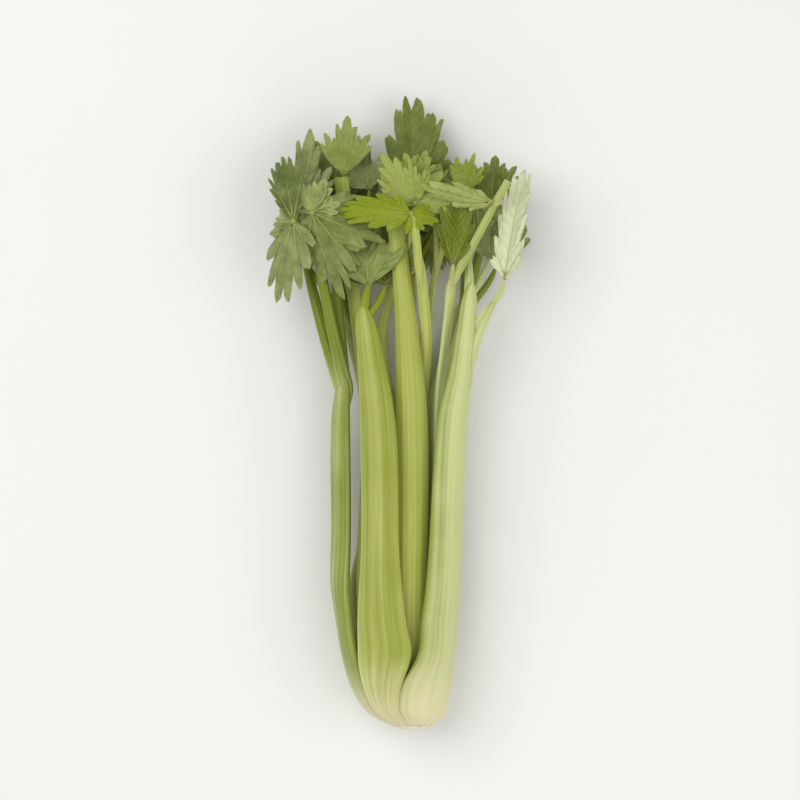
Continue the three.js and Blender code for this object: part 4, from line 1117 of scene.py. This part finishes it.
class CELERY_OT_butt(bpy.types.Operator):
    """Makes the squat butt that every stalk grows from"""

    bl_idname = "celery.butt"
    bl_label = "Butt"

    def execute(self, context):
        look = context.scene.celery.butt
        bm = bmesh.new()
        places = [k / BUTT_STEPS for k in range((len(BUTT_OUTLINE) - 1) * BUTT_STEPS + 1)]
        radii = [(i, radius) for i, (radius, _) in enumerate(BUTT_OUTLINE)]
        heights = [(i, height) for i, (_, height) in enumerate(BUTT_OUTLINE)]
        line = [bm.verts.new((along(radii, i), along(heights, i), 0)) for i in places]
        edges = [bm.edges.new(pair) for pair in zip(line, line[1:])]
        bmesh.ops.spin(
            bm, geom=line + edges, axis=(0, 1, 0), cent=(0, 0, 0),
            steps=BUTT_SIDES, angle=2 * math.pi, use_merge=True,
        )
        bmesh.ops.remove_doubles(bm, verts=bm.verts, dist=10 * SEAM)
        for vertex in bm.verts:
            x, y, z = vertex.co
            rough = look.unevenness * wander(vertex.co * BUTT_GRAIN, 4.0)
            rough *= 1 if y < CUT_FACE_HEIGHT else BUTT_SMOOTHER
            vertex.co = Vector((x + along(AXIS_X, y), max(y + rough, 0.0), z + along(AXIS_Z, y))) - MIDDLE
        shade_smooth(bm)
        bmesh.ops.recalc_face_normals(bm, faces=bm.faces)
        piece("butt", bm, "butt", flesh_material("Butt flesh", look.flesh, look.dry, tone(190, 176, 120)))
        return {"FINISHED"}


class RingOperator:
    """Makes every stalk of one ring of the whorl"""

    def execute(self, context):
        look = context.scene.celery.stalk
        skin = bpy.data.materials.get("Ribbed stalk skin") or skin_material(look)
        flesh = bpy.data.materials.get("Cut stalk flesh") or flesh_material(
            "Cut stalk flesh", look.flesh, tone(204, 190, 132), tone(150, 160, 92)
        )
        for seed, (node, stalk) in enumerate(STALKS.items()):
            if stalk["ring"] == self.ring:
                parts = [stalk_body(stalk, look, seed * 7.3)]
                for start, via, end, thick, *cut in stalk["stems"]:
                    parts.append(stem_body(start, via, end, thick, stalk, bool(cut)))
                piece(node, put_together(parts), RINGS[self.ring]["slot"], skin, flesh)
        return {"FINISHED"}


class CELERY_OT_outer_stalks(RingOperator, bpy.types.Operator):
    """Makes the five wide outer leaf stalks"""

    bl_idname = "celery.outer_stalks"
    bl_label = "Outer stalks"
    ring = "outer"


class CELERY_OT_inner_stalks(RingOperator, bpy.types.Operator):
    """Makes the five narrower stalks inside them"""

    bl_idname = "celery.inner_stalks"
    bl_label = "Inner stalks"
    ring = "inner"


class CELERY_OT_heart(RingOperator, bpy.types.Operator):
    """Makes the three thin stalks at the heart"""

    bl_idname = "celery.heart"
    bl_label = "Heart"
    ring = "heart"


class CELERY_OT_leaves(bpy.types.Operator):
    """Makes every group of toothed leaflets"""

    bl_idname = "celery.leaves"
    bl_label = "Leaves"

    def execute(self, context):
        look = context.scene.celery.leaf
        upper = leaf_material("Leaf upper side", look, True)
        lower = leaf_material("Leaf underside", look, False)
        for seed, (node, (at, tint_at, leaflets)) in enumerate(LEAVES.items()):
            parts = [leaf_blade(at, row, tint_at, look, seed * 3.1 + k) for k, row in enumerate(leaflets)]
            if len(leaflets) > 1:
                parts.append(leaf_knot(at, tint_at))
            piece(node, put_together(parts), "leaf", upper, lower)
        return {"FINISHED"}


class CELERY_OT_stage(bpy.types.Operator):
    """Sets the pale table, the soft studio light and the camera that looks straight down"""

    bl_idname = "celery.stage"
    bl_label = "Table, light and camera"

    def execute(self, context):
        scene = context.scene
        look = scene.celery.stage
        bm = bmesh.new()
        level = Matrix.Translation((0, 0, -TABLE_GAP))
        bmesh.ops.create_grid(bm, x_segments=8, y_segments=8, size=TABLE_REACH, matrix=level)
        mesh = bpy.data.meshes.new("table_top")
        bm.to_mesh(mesh)
        bm.free()
        mesh.materials.append(table_material(look.table))
        table = bpy.data.objects.new("table_top", mesh)
        scene.collection.objects.link(table)

        for name, place, width, share in LAMPS:
            lamp = bpy.data.lights.new(name, "AREA")
            lamp.shape = "SQUARE"
            lamp.size = width
            lamp.energy = look.lamp_power * share
            made = bpy.data.objects.new(name, lamp)
            made.location = place
            made.rotation_euler = (LIT_PLACE - Vector(place)).to_track_quat("-Z", "Y").to_euler()
            scene.collection.objects.link(made)

        world = bpy.data.worlds.new("Pale room")
        world.use_nodes = True
        sky = world.node_tree.nodes["Background"].inputs
        sky["Color"].default_value = (1.0, 1.0, 0.98, 1.0)
        sky["Strength"].default_value = SKY_STRENGTH
        scene.world = world
        scene.view_settings.view_transform = "Standard"

        camera = bpy.data.cameras.new("camera")
        camera.lens = CAMERA_LENS
        camera.sensor_width = CAMERA_SENSOR
        made = bpy.data.objects.new("camera", camera)
        made.location = (*CAMERA_PLACE, look.camera_height)
        scene.collection.objects.link(made)
        scene.camera = made
        return {"FINISHED"}


class CELERY_PT_sidebar(bpy.types.Panel):
    """The head's sizes, colours and pieces in the 3D view's sidebar"""

    bl_idname = "CELERY_PT_sidebar"
    bl_label = "Celery"
    bl_space_type = "VIEW_3D"
    bl_region_type = "UI"
    bl_category = "Celery"

    def draw(self, context):
        for name in ("butt", "stalk", "leaf", "stage"):
            box = self.layout.box()
            box.label(text=name.capitalize())
            look = getattr(context.scene.celery, name)
            for key in look.__annotations__:
                box.prop(look, key)
        for step in STEPS:
            self.layout.operator(step.bl_idname)


STEPS = (
    CELERY_OT_stage,
    CELERY_OT_butt,
    CELERY_OT_outer_stalks,
    CELERY_OT_inner_stalks,
    CELERY_OT_heart,
    CELERY_OT_leaves,
)
CLASSES = (StalkLook, LeafLook, ButtLook, StageLook, CeleryLook, *STEPS, CELERY_PT_sidebar)


def register():
    for cls in CLASSES:
        bpy.utils.register_class(cls)
    bpy.types.Scene.celery = PointerProperty(type=CeleryLook)


def unregister():
    del bpy.types.Scene.celery
    for cls in reversed(CLASSES):
        bpy.utils.unregister_class(cls)


def main():
    register()
    for step in STEPS:
        group, name = step.bl_idname.split(".")
        getattr(getattr(bpy.ops, group), name)()
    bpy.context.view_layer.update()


if __name__ == "__main__":
    main()
